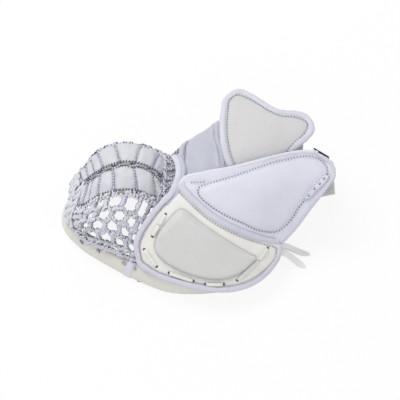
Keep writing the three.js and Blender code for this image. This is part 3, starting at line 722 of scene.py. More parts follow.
FINGER_RIM = Sheet([
    [(114, 44, -2), (98, 26, -2), (74, 13, -2), (46, 7, -2), (0, 2, -2), (-48, 5, -2), (-107, 31, -2),
        (-156, 61, -2), (-186, 84, -2), (-209, 112, 6), (-212, 132, 17), (-208, 143, 25)],
    [(114, 45, 16), (98, 27, 16), (74, 14, 16), (46, 7, 17), (0, 2, 18), (-48, 6, 19), (-107, 33, 19),
        (-156, 63, 19), (-187, 87, 18), (-210, 114, 20), (-212, 132, 28), (-207, 143, 34)],
    [(113, 48, 34), (98, 31, 33), (74, 18, 33), (46, 12, 34), (0, 8, 36), (-48, 13, 38), (-104, 40, 38),
        (-152, 68, 38), (-182, 92, 36), (-203, 117, 36), (-206, 133, 40), (-203, 143, 43)],
])
THUMB_RIM = Sheet([
    [(-206, 172, 16), (-192, 200, 3), (-156, 236, -2), (-108, 247, -2), (-68, 243, -2), (-34, 240, -2),
        (0, 266, -2), (36, 285, -2), (76, 288, -2), (124, 270, -2), (154, 246, -2)],
    [(-205, 172, 27), (-191, 199, 20), (-156, 235, 19), (-108, 246, 19), (-68, 242, 19), (-34, 239, 19),
        (0, 265, 19), (36, 284, 19), (76, 287, 19), (124, 269, 19), (154, 245, 19)],
    [(-201, 169, 37), (-185, 196, 36), (-152, 229, 38), (-108, 240, 39), (-68, 236, 39), (-34, 233, 38),
        (0, 259, 37), (36, 278, 36), (76, 281, 37), (122, 263, 38), (152, 239, 40)],
])
FINGER_PALM = Sheet([
    [(-80, 44, 18), (-50, 28, 15), (0, 20, 14), (47, 23, 14), (82, 38, 14), (102, 60, 16)],
    [(-66, 88, 60), (-30, 80, 54), (10, 78, 46), (50, 80, 40), (86, 87, 34), (109, 99, 31)],
    [(-50, 134, 88), (-20, 136, 80), (20, 138, 66), (60, 139, 55), (95, 136, 46), (116, 128, 41)],
])
THUMB_PALM = Sheet([
    [(-36, 166, 88), (-8, 168, 82), (30, 172, 70), (70, 177, 60), (108, 184, 52), (138, 188, 46)],
    [(-34, 190, 58), (-4, 200, 52), (34, 207, 46), (78, 210, 40), (114, 208, 34), (142, 202, 30)],
    [(-30, 216, 20), (0, 240, 16), (34, 262, 13), (76, 266, 13), (118, 250, 14), (143, 226, 16)],
])
FOLD = Sheet([
    [(-48, 126, 96.8), (-18, 126, 87.8), (20, 128, 73.8), (60, 129, 62.8), (94, 127, 53.8)],
    [(-48, 147, 106), (-18, 148, 98), (20, 150, 84), (60, 152, 74), (94, 152, 66)],
    [(-46, 168, 98), (-16, 170, 91), (22, 174, 79), (62, 178, 69), (96, 180, 62)],
])
CUFF_PALM = Sheet([
    [(114.8, 98.8, 33), (150, 117, 40), (182, 150, 38), (212, 164, 32)],
    [(134, 118, 31), (166, 152, 29), (190, 178, 32), (213, 182, 38)],
    [(154, 148, 29), (175, 184, 36), (192, 206, 48), (207, 204, 56)],
])
WRIST_STRAP = Sheet([
    [(205, 203, 60), (204.8, 204.6, 62), (204.6, 205.8, 64), (204.4, 206.6, 66)],
    [(187, 207, 53), (184, 211, 69), (181, 210, 87), (178, 203, 102)],
])
STRAP_END = Sheet([
    [(203.6, 208.4, 69), (203.8, 208.6, 67.4), (204, 208.6, 65.8), (204, 208.4, 64.2)],
    [(178, 204.4, 103), (181, 211.4, 88), (184, 212.4, 75), (187, 210.4, 62)],
])

# Routes of the loose laces, with the turn and the share of the full width of each
TAIL_ROUTE_A = [
    (122, 66, 41.2), (126.6, 68.4, 38.8), (131, 70.4, 35), (135.6, 72, 30.8), (140.4, 73.2, 25.6),
    (145.8, 73.9, 19.6), (149, 74.5, 15.8), (152.2, 75, 12.2), (155.4, 75.3, 8.8), (158.6, 75.4, 6),
    (161.8, 75.2, 4.2), (165, 74.8, 3.2), (168, 74.2, 2.8), (171, 73.5, 2.8), (173.8, 72.8, 2.8),
]
TAIL_ROUTE_B = [
    (119, 58, 39.6), (123.6, 59.4, 37.4), (128, 60.4, 34), (132.4, 60.8, 30.6), (136.8, 60.8, 26.6),
    (141.6, 60.2, 21.6), (144.6, 59.6, 17.8), (147.6, 58.9, 14), (150.6, 58.1, 10.4), (153.6, 57.1, 7.4),
    (156.6, 55.9, 5.2), (159.4, 54.6, 3.8), (162, 53.2, 3), (164.4, 51.7, 2.8), (166.6, 50.2, 2.8),
]
LACE_TAILS = (("a", TAIL_ROUTE_A, 0.15, 0.94), ("b", TAIL_ROUTE_B, -0.12, 1.02))

# Edges of the sheets that carry a rolled binding, as shares of u and v
FINGER_EDGE = [(0, 0.9), (0, 0), (1, 0), (1, 0.92)]
CUFF_EDGE = [(0.86, 1), (1, 1), (1, 0), (0.6, 0)]
CUFF_FOLD = [(0, 0.1), (0, 1), (0.88, 1)]
THUMB_EDGE = [(0, 0.2), (0, 1)]
FLAP_EDGE = [(0, 0.1), (0, 1), (1, 1), (1, 0.1)]

# Stitched and laced places of the finger side's back
EYELETS = [
    (0.082, 0.667), (0.087, 0.548), (0.087, 0.438), (0.059, 0.269), (0.137, 0.11), (0.224, 0.082),
    (0.379, 0.059), (0.461, 0.05), (0.575, 0.068), (0.671, 0.105), (0.84, 0.338), (0.895, 0.731),
]
LACED_PAIRS = [(0, 1), (1, 2), (3, 4), (5, 6), (7, 8), (9, 10), (10, 11)]
PAD_OUTLINE = [
    (0.145, 0.805), (0.12, 0.6), (0.117, 0.406), (0.15, 0.27), (0.24, 0.178), (0.393, 0.122), (0.553, 0.123),
    (0.66, 0.165), (0.735, 0.235), (0.79, 0.33), (0.815, 0.43), (0.812, 0.475), (0.79, 0.51), (0.7, 0.64),
    (0.54, 0.742), (0.36, 0.8), (0.2, 0.825), (0.165, 0.822),
]
PAD_MIDDLE = (0.44, 0.44)

# Stitched places of the cuff
CUFF_INNER = [
    (0.119, 0.219), (0.132, 0.183), (0.169, 0.151), (0.237, 0.132), (0.311, 0.119), (0.397, 0.11),
    (0.452, 0.09), (0.521, 0.088), (0.566, 0.096), (0.621, 0.11), (0.68, 0.115), (0.731, 0.15), (0.79, 0.183),
    (0.863, 0.225), (0.93, 0.3), (0.958, 0.45), (0.955, 0.68), (0.92, 0.84), (0.858, 0.9), (0.758, 0.918),
    (0.685, 0.913), (0.58, 0.913), (0.502, 0.89), (0.388, 0.836), (0.288, 0.735), (0.219, 0.621),
    (0.164, 0.484), (0.123, 0.393), (0.114, 0.301),
]
CUFF_CORNER_ROW = [(0.055, 0.452), (0.11, 0.479), (0.15, 0.53)]
CUFF_TAB = [(0.79, 0.2), (0.817, 0.207), (0.863, 0.243), (0.904, 0.278), (0.94, 0.352), (0.962, 0.46)]
TAB_EYELETS = [(0.817, 0.207), (0.863, 0.24), (0.9, 0.274), (0.932, 0.335), (0.954, 0.42)]

# Left edges of the cells of the pocket's two rows, each as its lower and its upper end
THUMB_ROW_EDGES = [
    [(0.105, 0.53), (0.105, 0.62)], [(0.165, 0.525), (0.16, 0.645)], [(0.235, 0.525), (0.225, 0.655)],
    [(0.315, 0.525), (0.3, 0.66)], [(0.405, 0.522), (0.375, 0.66)], [(0.555, 0.52), (0.525, 0.664)],
    [(0.675, 0.52), (0.735, 0.664)], [(0.822, 0.52), (0.885, 0.66)], [(0.965, 0.53), (0.965, 0.655)],
]
FINGER_ROW_EDGES = [
    [(0.13, 0.37), (0.12, 0.478)], [(0.185, 0.345), (0.175, 0.48)], [(0.24, 0.325), (0.235, 0.484)],
    [(0.315, 0.335), (0.3, 0.486)], [(0.41, 0.352), (0.378, 0.488)], [(0.555, 0.357), (0.5, 0.488)],
    [(0.74, 0.378), (0.668, 0.488)], [(0.925, 0.4), (0.83, 0.488)], [(1.0, 0.41), (0.965, 0.484)],
]

# Middle of the binding's broad end over the crotch, from the finger side to the thumb side
CROTCH_MARKS = [(-32.1, 136.9, 125.6), (-30.1, 151.3, 127.0), (-31.8, 165.6, 126.6), (-36.9, 178.7, 124.6)]

# The pocket net: where each strand lies along v, and where links join it to the next one
NET_STRANDS = [0.335, 0.258, 0.188, 0.118, 0.052, 0.006]
NET_LINKS = [
    [0.4, 0.52, 0.665, 0.8, 0.905, 0.985], [0.34, 0.46, 0.615, 0.755, 0.875, 0.975],
    [0.3, 0.43, 0.585, 0.73, 0.857, 0.965], [0.26, 0.35, 0.525, 0.676, 0.815, 0.95],
    [0.24, 0.45, 0.6, 0.76, 0.9],
]

# Lace knots on the finger side's rim, its hole and its tape, as shares
RIM_KNOTS = [(0.817, 0.66), (0.74, 0.76), (0.626, 0.81), (0.58, 0.81)]
RIM_HOLE = (0.548, 0.151)
RIM_TAPE = (0.583, 0.613)

# Radius and height pairs of the eyelets, from the rim inwards
EDGE_EYELET = [(1.7, -1.4), (2.0, -0.45), (2.3, -0.32), (2.2, -0.6), (0.6, -0.9)]
TAB_EYELET = [(1.2, -1.2), (1.5, 0.0), (1.7, 0.25), (1.3, 0.2), (0.4, -0.3)]
RIM_EYELET = [(1.9, -1.0), (2.1, 0.2), (1.7, 0.35), (1.3, -0.2), (0.5, -0.6)]

# Folds of the thumb's leather at the foot of the flap, and short tabs on the pocket's rows
THUMB_RIDGE = [(0.324, 0.763), (0.311, 0.511), (0.324, 0.352), (0.356, 0.1)]
THUMB_SECOND_RIDGE = [(0.285, 0.74), (0.275, 0.511), (0.29, 0.352), (0.315, 0.1)]
ROW_TABS = [
    (0.297, 0.504), (0.457, 0.505), (0.607, 0.504), (0.75, 0.505), (0.45, 0.338), (0.63, 0.35), (0.8, 0.368),
]

# Plaits at the pocket's two ends, those at the far end each with a height, a pitch and the size of a leaf,
# and the roll there
CROTCH_PLAIT = [(0.955, 0.36), (0.975, 0.44), (0.975, 0.56), (0.955, 0.65)]
BROAD_LEAF = (10.2, 3.9, 2.5)
END_PLAITS = [
    ([(0.1, 0.7), (0.075, 0.62), (0.055, 0.53), (0.045, 0.43), (0.045, 0.33), (0.06, 0.2), (0.09, 0.06)],
     4.4, 13.0, BROAD_LEAF),
    ([(0.17, 0.49), (0.14, 0.4), (0.125, 0.3), (0.13, 0.2), (0.17, 0.08)], 4.2, 12.0, (9.2, 3.4, 2.3)),
    ([(0.16, 0.69), (0.12, 0.6), (0.1, 0.52)], 4.8, 12.0, BROAD_LEAF),
    ([(0.12, 0.94), (0.09, 0.86), (0.08, 0.75), (0.085, 0.66)], 4.2, 12.0, BROAD_LEAF),
]
END_ROLL = [(0.012, 0.01), (0.004, 0.16), (0.01, 0.34), (0.02, 0.46)]


def size(name):
    """One of the glove's sizes, in millimetres"""
    return getattr(bpy.context.scene.catch_glove_sizes, name) / MM


def leather_face(lines, width=1.5, depth=0.8, seed=1, wave=34.0, swell=0.35, base=0.0, puff=0.0, reach=7.0):
    """Height of a leather's outer face: softly uneven, drawn in along lines and puffed between them"""
    def height(points, u, v):
        rise = base + ripple(points, seed, wave) * swell
        for line in lines:
            far = distance_to(points, line)
            rise = rise - depth * np.exp(-(far / width) ** 2) - puff * np.exp(-(far / reach) ** 2)
        return rise
    return height


def together(*faces):
    """The sum of several heights of a face"""
    return lambda points, u, v: sum(face(points, u, v) for face in faces)


def drawn_in(lines, width=1.6, strength=0.4):
    """Shade along lines where a leather is drawn in"""
    def shade(points):
        total = np.zeros(points.shape[:-1])
        for line in lines:
            total = np.maximum(total, np.exp(-(distance_to(points, line) / width) ** 2))
        return total * strength
    return shade


def deepest(*shades):
    """The darkest of several shades"""
    return lambda points: np.maximum.reduce([shade(points) for shade in shades])


def sewn(name, tracks, body, lean=0.0, pitch=None, scale=1.0, finish="thread"):
    """One piece with the stitches of several seams"""
    build = Build()
    length, width = size("stitch_length") * scale, size("stitch_width") * scale
    for line, ups in tracks:
        stitches(build, line, ups, pitch or size("stitch_pitch"), (length / 2, width / 2, width / 2), lean)
    return build.piece(name, finish, body)


def seam(sheet, shares, closed=False):
    """A seam's line and outward directions on a sheet"""
    return sheet.track(shares, step=1.2, height=0.1, closed=closed)


def edge_seam(sheet, corners, margin, spacing=0.05):
    """A seam along a sheet's edge, at a margin from it"""
    return seam(sheet, sheet.inset(edge_walk(corners, spacing), margin))


# The eyelets are near-black shapes, painted shadow for punched holes
def eyelets(name, sheet, shares, height, profile, sides, way=1, along=(1.0, 0.2, 0.0)):
    """One piece with the eyelets at shares of a sheet; way is -1 where they face its inner side"""
    u, v = np.array(shares).T
    places, ups = sheet.raised(u, v, height), sheet.outward(u, v) * way
    return stamp(Build(), turned(profile, sides), places, along, ups).piece(name, "hole", "hand_back")


def rolled(name, sheet, edge, body, node=None, spacing=0.1, wide=None, high=None, height=-1.3, seed=5,
           widths=None, finish="binding"):
    """A rolled leather binding round a sheet's edge, softly puckered by its stitches; widths lists shares of
    its length with its share of the full width there"""
    line, ups = edge_track(sheet, edge, spacing, height)
    wide, high = wide or size("binding_width") / 2, high or size("binding_height") / 2
    run = lengths(line)
    share = np.interp(run / run[-1], *np.array(widths).T) if widths else 1.0
    pucker = 0.12 * np.sin(run * 2 * math.pi / 9.6) + 0.22 * ripple(line, seed, length=26.0)
    wide, high = wide * share + pucker, high * np.sqrt(share) + pucker * 0.7
    build = sweep(Build(), line, ups, wide, high, sides=22, power=2.5)
    return build.piece(name, finish, body, node, sharp=180.0)


def ribbon(build, line, ups, wide, thick, sides=10, sag=0.0):
    """A flat lace along a line, with both ends sunk by sag"""
    line = np.array(line, float)
    if sag:
        run = lengths(line)
        ends = np.minimum(run, run[-1] - run)
        line = line - np.broadcast_to(ups, line.shape) * (sag * np.exp(-(ends / 1.6) ** 2))[:, None]
    return sweep(build, line, ups, wide / 2, thick / 2, sides, 3.0)


def between(first, second, steps, lift, ups):
    """Points from one place to another, arched by lift towards ups"""
    t = np.linspace(0, 1, steps)[:, None]
    line = np.asarray(first) * (1 - t) + np.asarray(second) * t
    return line + np.asarray(ups) * np.sin(t * math.pi) * lift


def bridge(first, last, steps):
    """A grid of points from one line to another, with its shares of the way across"""
    t = np.linspace(0, 1, steps)[None, :, None]
    return first[:, None] * (1 - t) + last[:, None] * t, t[..., 0]


def flat_to(line, ups):
    """Directions square to a line and as near as can be to ups"""
    tangents = heading(line)
    ups = np.broadcast_to(np.asarray(ups, float), line.shape)
    return unit(ups - tangents * (ups * tangents).sum(axis=1, keepdims=True))


def dome(build, sheet, outline, middle, rise, low, rings=36, around=260):
    """A closed padded form on a sheet; rise is a function of the distance to the outline and of v"""
    way_round = lengths(sheet.at(*sheet.walk(outline, 1.0, closed=True).T))[-1]
    shares = sheet.walk(outline, way_round / around, closed=True)[:-1]
    line = sheet.at(*shares.T)
    reach = 1 - np.linspace(0, 1, rings + 1)[:-1, None, None] ** 1.6
    grid = np.asarray(middle) + (shares[None] - np.asarray(middle)) * reach
    base, normals = sheet.at(grid[..., 0], grid[..., 1]), sheet.outward(grid[..., 0], grid[..., 1])
    far = distance_to(base, line)
    heart, heart_up = sheet.at(*middle), sheet.outward(*middle)
    crown = rise(distance_to(heart[None], line), np.array([middle[1]]))[0]
    tops = (base + normals * rise(far, grid[..., 1])[..., None]).reshape(-1, 3)
    unders = (base + normals * low).reshape(-1, 3)
    count = len(line)
    step, after = np.arange(count), (np.arange(count) + 1) % count
    quads = ring_faces(rings, count)
    total, last = rings * count, (rings - 1) * count
    fan = np.stack([last + step, last + after, np.full(count, 2 * total)], axis=-1)
    fan_under = np.stack([total + last + after, total + last + step, np.full(count, 2 * total + 1)], axis=-1)
    wall = np.stack([step, step + total, after + total, after], axis=-1)
    # Painted shade: the form darkens along the foot of its outline
    shade = np.concatenate([np.exp(-(far / 1.3) ** 2).ravel()] * 2 + [np.zeros(2)])
    return build.add(np.concatenate([tops, unders, [heart + heart_up * crown, heart + heart_up * low]]),
                     [quads, quads[:, ::-1] + total, fan, fan_under, wall], shade=shade)


def plait(build, sheet, walk, height, pitch, leaf, spread=26.0, tilt=0.17):
    """Leaf-like turns of lace, leaning left and right by turns along a line of a sheet; tilt lays them over
    each other like scales"""
    line, ups = sheet.track(walk, pitch / 2, height)
    tangents = heading(line)
    sideways = np.cross(tangents, ups)
    points, faces = bead(12, 9)
    # Painted shade round the rim of each leaf, for the dark gaps between the leaves
    rim = np.clip(np.abs(points[:, 1]) ** 3 + np.abs(points[:, 0]) ** 5, 0, 1)
    for index, (place, along, side, up) in enumerate(zip(line, tangents, sideways, ups)):
        way = 1 if index % 2 else -1
        turn = math.radians(spread) * way
        ahead = along * math.cos(turn) + side * math.sin(turn)
        across = side * math.cos(turn) - along * math.sin(turn)
        scale = np.array(leaf) * (1 + 0.12 * math.sin(index * 2.1))
        local = points * scale
        local[:, 2] += 0.5 * np.cos(points[:, 0] * 2.0) + tilt * local[:, 0]
        middle = place + side * (leaf[1] * 0.75 * way)
        build.add(middle + local[:, :1] * ahead + local[:, 1:2] * across + local[:, 2:] * up, faces,
                  run=points[:, 0] * scale[0] + index * 1.7, side=points[:, 1], shade=0.05 + 0.95 * rim)
    return build


class CATCHGLOVE_OT_stage(Operator):
    """Sets the floor, the white surroundings, the soft light and the camera"""
    bl_idname = "catch_glove.stage"
    bl_label = "Stage"

    def execute(self, context):
        scene = context.scene
        scene.view_settings.view_transform = "Standard"
        world = scene.world or bpy.data.worlds.new("surroundings")
        scene.world = world
        world.use_nodes = True
        nodes = Nodes(world.node_tree)
        light, white = (nodes.add("ShaderNodeBackground", {}, {0: WHITE, 1: power})
                        for power in (SKY_LIGHT, 1.0))
        nodes.end("ShaderNodeOutputWorld",
                  nodes.add("ShaderNodeMixShader", {}, {0: nodes.seen(), 1: light, 2: white}))

        bpy.ops.mesh.primitive_grid_add(x_subdivisions=8, y_subdivisions=8, size=8.0, location=(0, 0, -0.0002))
        floor = context.object
        floor.name = "floor"
        made = bpy.data.materials.new("floor")
        made.use_nodes = True
        nodes = Nodes(made.node_tree)
        cloth = nodes.add("ShaderNodeBsdfDiffuse", {}, {0: (0.9, 0.9, 0.9, 1.0)})
        white = nodes.add("ShaderNodeEmission", {}, {0: WHITE, 1: 1.0})
        nodes.end("ShaderNodeOutputMaterial",
                  nodes.add("ShaderNodeMixShader", {}, {0: nodes.seen() * FLOOR_WHITENESS, 1: cloth, 2: white}))
        floor.data.materials.append(made)

        for name, place, power, width in LAMPS:
            lamp = bpy.data.lights.new(name, "AREA")
            lamp.energy, lamp.size = power, width
            made = bpy.data.objects.new(name, lamp)
            made.location = place
            made.rotation_euler = (LAMP_TARGET - Vector(place)).to_track_quat("-Z", "Y").to_euler()
            scene.collection.objects.link(made)

        lens = bpy.data.cameras.new("camera")
        lens.lens, lens.sensor_width = VIEW_LENS, VIEW_SENSOR
        camera = bpy.data.objects.new("camera", lens)
        back = Vector((0, -math.cos(VIEW_ELEVATION), math.sin(VIEW_ELEVATION)))
        camera.location = VIEW_TARGET + VIEW_DISTANCE * back
        camera.rotation_euler = (VIEW_TARGET - camera.location).to_track_quat("-Z", "Y").to_euler()
        scene.collection.objects.link(camera)
        scene.camera = camera
        return {"FINISHED"}


class CATCHGLOVE_OT_lace_tails(Operator):
    """Makes the two loose ends of lace at the heel"""
    bl_idname = "catch_glove.lace_tails"
    bl_label = "Lace tails"

    def execute(self, context):
        for name, route, turn, share in LACE_TAILS:
            points = np.array(route, float)
            wide = size("tail_width") * share
            line = curve(points, np.linspace(0, 1, 120))
            run = lengths(line)
            ups = flat_to(line, (0.2, -0.5, 1.0))
            ups = unit(ups + beside(line, ups) * (turn * np.sin(run / run[-1] * math.pi))[:, None])
            taper = 0.22 + 0.78 * eased(run[-1] - run, 17.0) ** 1.3
            build = sweep(Build(), line, ups, wide / 2 * taper, size("lace_thickness") / 2, sides=14, power=3.0)
            made = build.piece("loose_lace_" + name, "plain_lace", "hand_back", "lace_tail_" + name)
            path = (points - PLAN_ORIGIN) * MM
            float(lengths(path)[-1])
            wide * MM
        return {"FINISHED"}


class CATCHGLOVE_OT_finger_back(Operator):
    """Makes the leather of the finger side's back with its edge lacing and its binding"""
    bl_idname = "catch_glove.finger_back"
    bl_label = "Finger back"

    def execute(self, context):
        sheet = FINGER_BACK
        edge = edge_seam(sheet, FINGER_EDGE, size("edge_margin"))
        row = edge_seam(sheet, [(0, 1), (1, 1)], size("seam_margin"))
        outline = seam(sheet, PAD_OUTLINE, closed=True)
        holes = sheet.at(*np.array(EYELETS).T)
        face = leather_face([edge[0], row[0], outline[0]], seed=3, puff=0.5, reach=5.0)
        dips = leather_face([holes], width=2.6, depth=0.9, swell=0.0)
        shade = deepest(drawn_in([edge[0], row[0], holes]), drawn_in([outline[0]], width=1.3, strength=0.9))
        build = panel(Build(), sheet, (190, 130), -LEATHER, together(face, dips), shade=shade)
        build.piece("finger_back_leather", "cream_leather", "hand_back", "finger_back_panel")
        rolled("finger_edge_roll", sheet, FINGER_EDGE, "hand_back", "finger_binding", spacing=0.11)
        sewn("finger_edge_stitches", [edge], "hand_back", pitch=3.7, scale=0.9, finish="pale_thread")
        sewn("cream_seam_stitches", [row], "hand_back", finish="pale_thread")

        eyelets("finger_eyelets", sheet, EYELETS, 0.45, EDGE_EYELET, sides=16)
        for index, (first, second) in enumerate(LACED_PAIRS, 1):
            line, ups = sheet.track(np.linspace(EYELETS[first], EYELETS[second], 12), step=0.8, height=0.9)
            run = lengths(line)
            line = line + ups * (0.9 * np.sin(run / run[-1] * math.pi))[:, None]
            build = ribbon(Build(), line, ups, size("lace_width"), size("lace_thickness"), 12, sag=2.2)
            build.piece("edge_lacing_%d" % index, "waxed_lace", "hand_back", "edge_lace_%d" % index, sharp=70.0)
        return {"FINISHED"}


class CATCHGLOVE_OT_finger_pad(Operator):
    """Makes the grey padded half moon on the finger side's back"""
    bl_idname = "catch_glove.finger_pad"
    bl_label = "Finger pad"

    def execute(self, context):
        full = size("pad_rise")

        def rise(far, v):
            soft = np.clip((v - 0.45) / 0.15, 0, 1)
            share = np.clip(far / 11.0, 0, 1)
            slope = share * share * (3 - 2 * share)
            edge = eased(far, 5.5) * (1 - soft) + slope * soft
            return -0.6 + full * edge + 1.4 * np.clip(far / 45.0, 0, 1) ** 0.8
        build = dome(Build(), FINGER_BACK, PAD_OUTLINE, PAD_MIDDLE, rise, low=-1.3)
        made = build.piece("finger_pad", "pad_leather", "hand_back", "finger_back_pad", sharp=80.0)
        return {"FINISHED"}


class CATCHGLOVE_OT_seam_roll(Operator):
    """Makes the rolled piping along the seam between the finger side and the cuff"""
    bl_idname = "catch_glove.seam_roll"
    bl_label = "Seam roll"

    def execute(self, context):
        line, ups = edge_seam(CUFF_BACK, [(0, 0), (0.585, 0)], 0.9)
        pucker = 0.15 * ripple(line, seed=12, length=18.0)
        wide = size("piping_width")
        build = sweep(Build(), line, ups, wide / 2 + pucker, wide * 0.2 + pucker, sides=20, power=2.2)
        build.piece("seam_roll", "binding", "hand_back", "seam_piping", sharp=180.0)
        return {"FINISHED"}


class CATCHGLOVE_OT_cuff(Operator):
    """Makes the cuff's leather with its stitched outline, its tab and its binding"""
    bl_idname = "catch_glove.cuff"
    bl_label = "Cuff"

    def execute(self, context):
        sheet = CUFF_BACK
        top = seam(sheet, CUFF_CORNER_ROW)
        low = edge_seam(sheet, [(0, 0), (0.57, 0)], size("seam_margin") + 0.5)
        inner = seam(sheet, CUFF_INNER, closed=True)
        face = leather_face([top[0], inner[0]], width=1.4, depth=0.6, seed=8, wave=60.0, swell=0.3, puff=1.5)
        crease = leather_face([low[0]], width=1.6, depth=1.2, swell=0.0)
        shade = deepest(drawn_in([low[0]], width=1.3, strength=0.75),
                        drawn_in([top[0], inner[0]], strength=0.14))
        build = panel(Build(), sheet, (210, 120), -LEATHER, together(face, crease), shade=shade)
        build.piece("cuff_leather", "white_leather", "hand_back", "cuff_panel")
        rolled("cuff_roll", sheet, CUFF_EDGE, "hand_back", "cuff_binding", spacing=0.1, seed=9,
               widths=[(0, 0.5), (0.12, 0.7), (0.3, 0.8), (1, 1)])
        rolled("cuff_top_fold", sheet, CUFF_FOLD, "hand_back", spacing=0.09, wide=2.7, high=2.0, height=-1.9,
               seed=14, finish="white_leather")
        upper, lower = seam(sheet, CUFF_INNER[13:28]), seam(sheet, CUFF_INNER[27:] + CUFF_INNER[:14])
        sewn("cuff_stitches", [top, upper], "hand_back", finish="pale_thread")
        sewn("cuff_inner_stitches", [lower], "hand_back", scale=1.05)

        line, ups = sheet.track(CUFF_TAB, step=1.0, height=0.5)
        wide = size("tab_width") / 2 * (0.35 + 0.65 * ends_eased(lengths(line), 12.0))
        build = sweep(Build(), line, ups, wide, 1.1, sides=16, power=3.2)
        build.piece("cuff_lace_tab", "white_leather", "hand_back", "cuff_tab", sharp=70.0)
        sideways = unit(beside(line, ups)) * (wide[:, None] - 1.5)
        sewn("cuff_tab_stitches", [(line + sideways + ups, ups), (line - sideways + ups, ups)], "hand_back",
             scale=0.85, pitch=3.8, finish="pale_thread")
        eyelets("cuff_tab_eyelets", sheet, TAB_EYELETS, 1.6, TAB_EYELET, sides=14)
        return {"FINISHED"}


class CATCHGLOVE_OT_thumb(Operator):
    """Makes the thumb side's soft leather, its binding, the flap's folded base and the gusset under the cuff"""
    bl_idname = "catch_glove.thumb"
    bl_label = "Thumb side"

    def execute(self, context):
        sheet, margin = THUMB_BACK, size("edge_margin")
        edge = edge_seam(sheet, THUMB_EDGE, margin, 0.06)
        fold = edge_seam(sheet, [(0, 0.05), (0, 0.98)], margin + 0.8, 0.06)
        ridge, second = seam(sheet, THUMB_RIDGE), seam(sheet, THUMB_SECOND_RIDGE)
        face = leather_face([fold[0]], width=1.8, depth=1.3, seed=21, wave=30.0, swell=0.7)
        folds = leather_face([ridge[0], second[0]], width=3.2, depth=-1.1, swell=0.0)
        build = panel(Build(), sheet, (130, 130), -LEATHER, together(face, folds),
                      shade=drawn_in([fold[0]], width=1.5, strength=0.7))
        build.piece("thumb_leather", "thumb_leather", "thumb_side", "thumb_panel")
        rolled("thumb_edge_roll", sheet, THUMB_EDGE, "thumb_side", "thumb_binding", spacing=0.13, wide=3.6,
               high=2.7, seed=23, finish="thumb_leather")
        sewn("thumb_edge_stitches", [edge], "thumb_side", finish="pale_thread")
        build = Build()
        for line, ups, wide in ((*ridge, 3.4), (*second, 2.4)):
            taper = 0.4 + 0.6 * ends_eased(lengths(line), 22.0)
            sweep(build, line, ups, wide * taper, wide * 0.75 * taper, sides=16)
        build.piece("flap_fold", "thumb_leather", "thumb_side", sharp=180.0)

        u = np.linspace(0.03, 0.97, 60)
        top, t = bridge(CUFF_BACK.raised(u, 0.82, -3.6), sheet.raised(np.clip(u, 0, 0.99), 0.1, -3.2), 18)
        top[..., 2] -= np.sin(t * math.pi) * 1.5
        slab(Build(), top, top - (0, 0, 1.6), shade=0.15).piece("thumb_gusset", "thumb_leather")
        return {"FINISHED"}


class CATCHGLOVE_OT_crotch(Operator):
    """Makes the roll that carries the edge binding from the finger side to the thumb side, and the dark
    lacing behind it"""
    bl_idname = "catch_glove.crotch"
    bl_label = "Crotch"

    def execute(self, context):
        marks = np.concatenate([FINGER_BACK.at(0, [0.8, 0.9]), CROTCH_MARKS])
        ups = np.concatenate([FINGER_BACK.outward(0, [0.8, 0.9, 1.0]), CUFF_BACK.outward(0, [0.3, 0.9]),
                              THUMB_BACK.outward(0, [0.2])])
        marks = marks - ups * 1.3
        t = np.linspace(0, 1, 120)
        line, ups = resampled(curve(marks, t), 1.2, curve(ups, t))
        ups = flat_to(line, ups)
        pucker = 0.2 * ripple(line, seed=45, length=14.0)
        wide, high = size("binding_width") * 0.56 + pucker, size("binding_height") / 2 + pucker
        build = sweep(Build(), line, ups, wide, high, sides=22, power=2.8)
        build.piece("crotch_roll", "binding", sharp=180.0, flex=ROLL_FLEX)
        sideways = beside(line, ups)
        sideways = sideways * np.sign(sideways[:, :1])
        build = sweep(Build(), line + sideways * 6.6 - ups * 2.2, ups, 4.6 + pucker, 3.4 + pucker, sides=18)
        build.piece("crotch_fold", "thumb_leather", sharp=180.0, flex=ROLL_FLEX)

        dice = np.random.default_rng(47)
        edge = curve(marks - ups[[0, 0, 0, -1, -1, -1]] * 4.5, np.linspace(0, 1, 40))
        # Painted shade: a dark lining sheet behind the crotch's lacing, where only shade lies; its shade value
        # is painted shade too
        behind, _ = bridge(POCKET.raised(0.93, np.linspace(0.34, 0.655, 40), -4.5), edge - (0, 0, 3.0), 14)
        build = slab(Build(), behind, behind - (0, 0, 1.6), shade=0.9)
        build.piece("crotch_backing", "lining", flex=LACING_FLEX)
        build = Build()
        t = np.linspace(0, 1, 22)[:, None]
        for index in range(11):
            share = np.clip(index / 10 + dice.uniform(-0.06, 0.06), 0, 1)
            first = POCKET.raised(0.95 + dice.uniform(-0.03, 0.03), 0.35 + 0.3 * share, 3.0)
            last = edge[int(np.clip(share + dice.uniform(-0.25, 0.25), 0, 1) * 39)]
            bow = dice.normal(size=3) * (2.0, 2.0, 1.0)
            line = between(first, last, 22, dice.uniform(0.5, 2.5), (0, 0, 1)) + np.sin(t * math.pi * 2) * bow
            ribbon(build, line, flat_to(line, unit(dice.normal(size=3) * 0.4 + (0.3, -0.3, 1.0))),
                   dice.uniform(3.4, 5.6), 1.8)
        build.piece("crotch_lacing", "dark_lace", sharp=80.0, flex=LACING_FLEX)
        build = plait(Build(), POCKET, CROTCH_PLAIT, height=4.4, pitch=10.0, leaf=(8.2, 3.3, 2.3),
                      spread=30.0, tilt=0.15)
        build.piece("crotch_plait", "white_lace", sharp=80.0, flex=LACING_FLEX)
        build = Build()
        for index in range(9):
            first = POCKET.raised(0.975, 0.7 + index * 0.03, 1.6)
            for end in (index, index + 1):
                last = THUMB_BACK.raised(0.02, 0.35 + end * 0.07, -1.0)
                line = between(first, last, steps=20, lift=1.4, ups=(0.0, 1.0, 0.3))
                ribbon(build, line, flat_to(line, (-0.2, 0.8, 0.4)), wide=5.2, thick=1.6)
        build.piece("thumb_side_lacing", "lace", sharp=80.0, flex=LACING_FLEX)
        return {"FINISHED"}


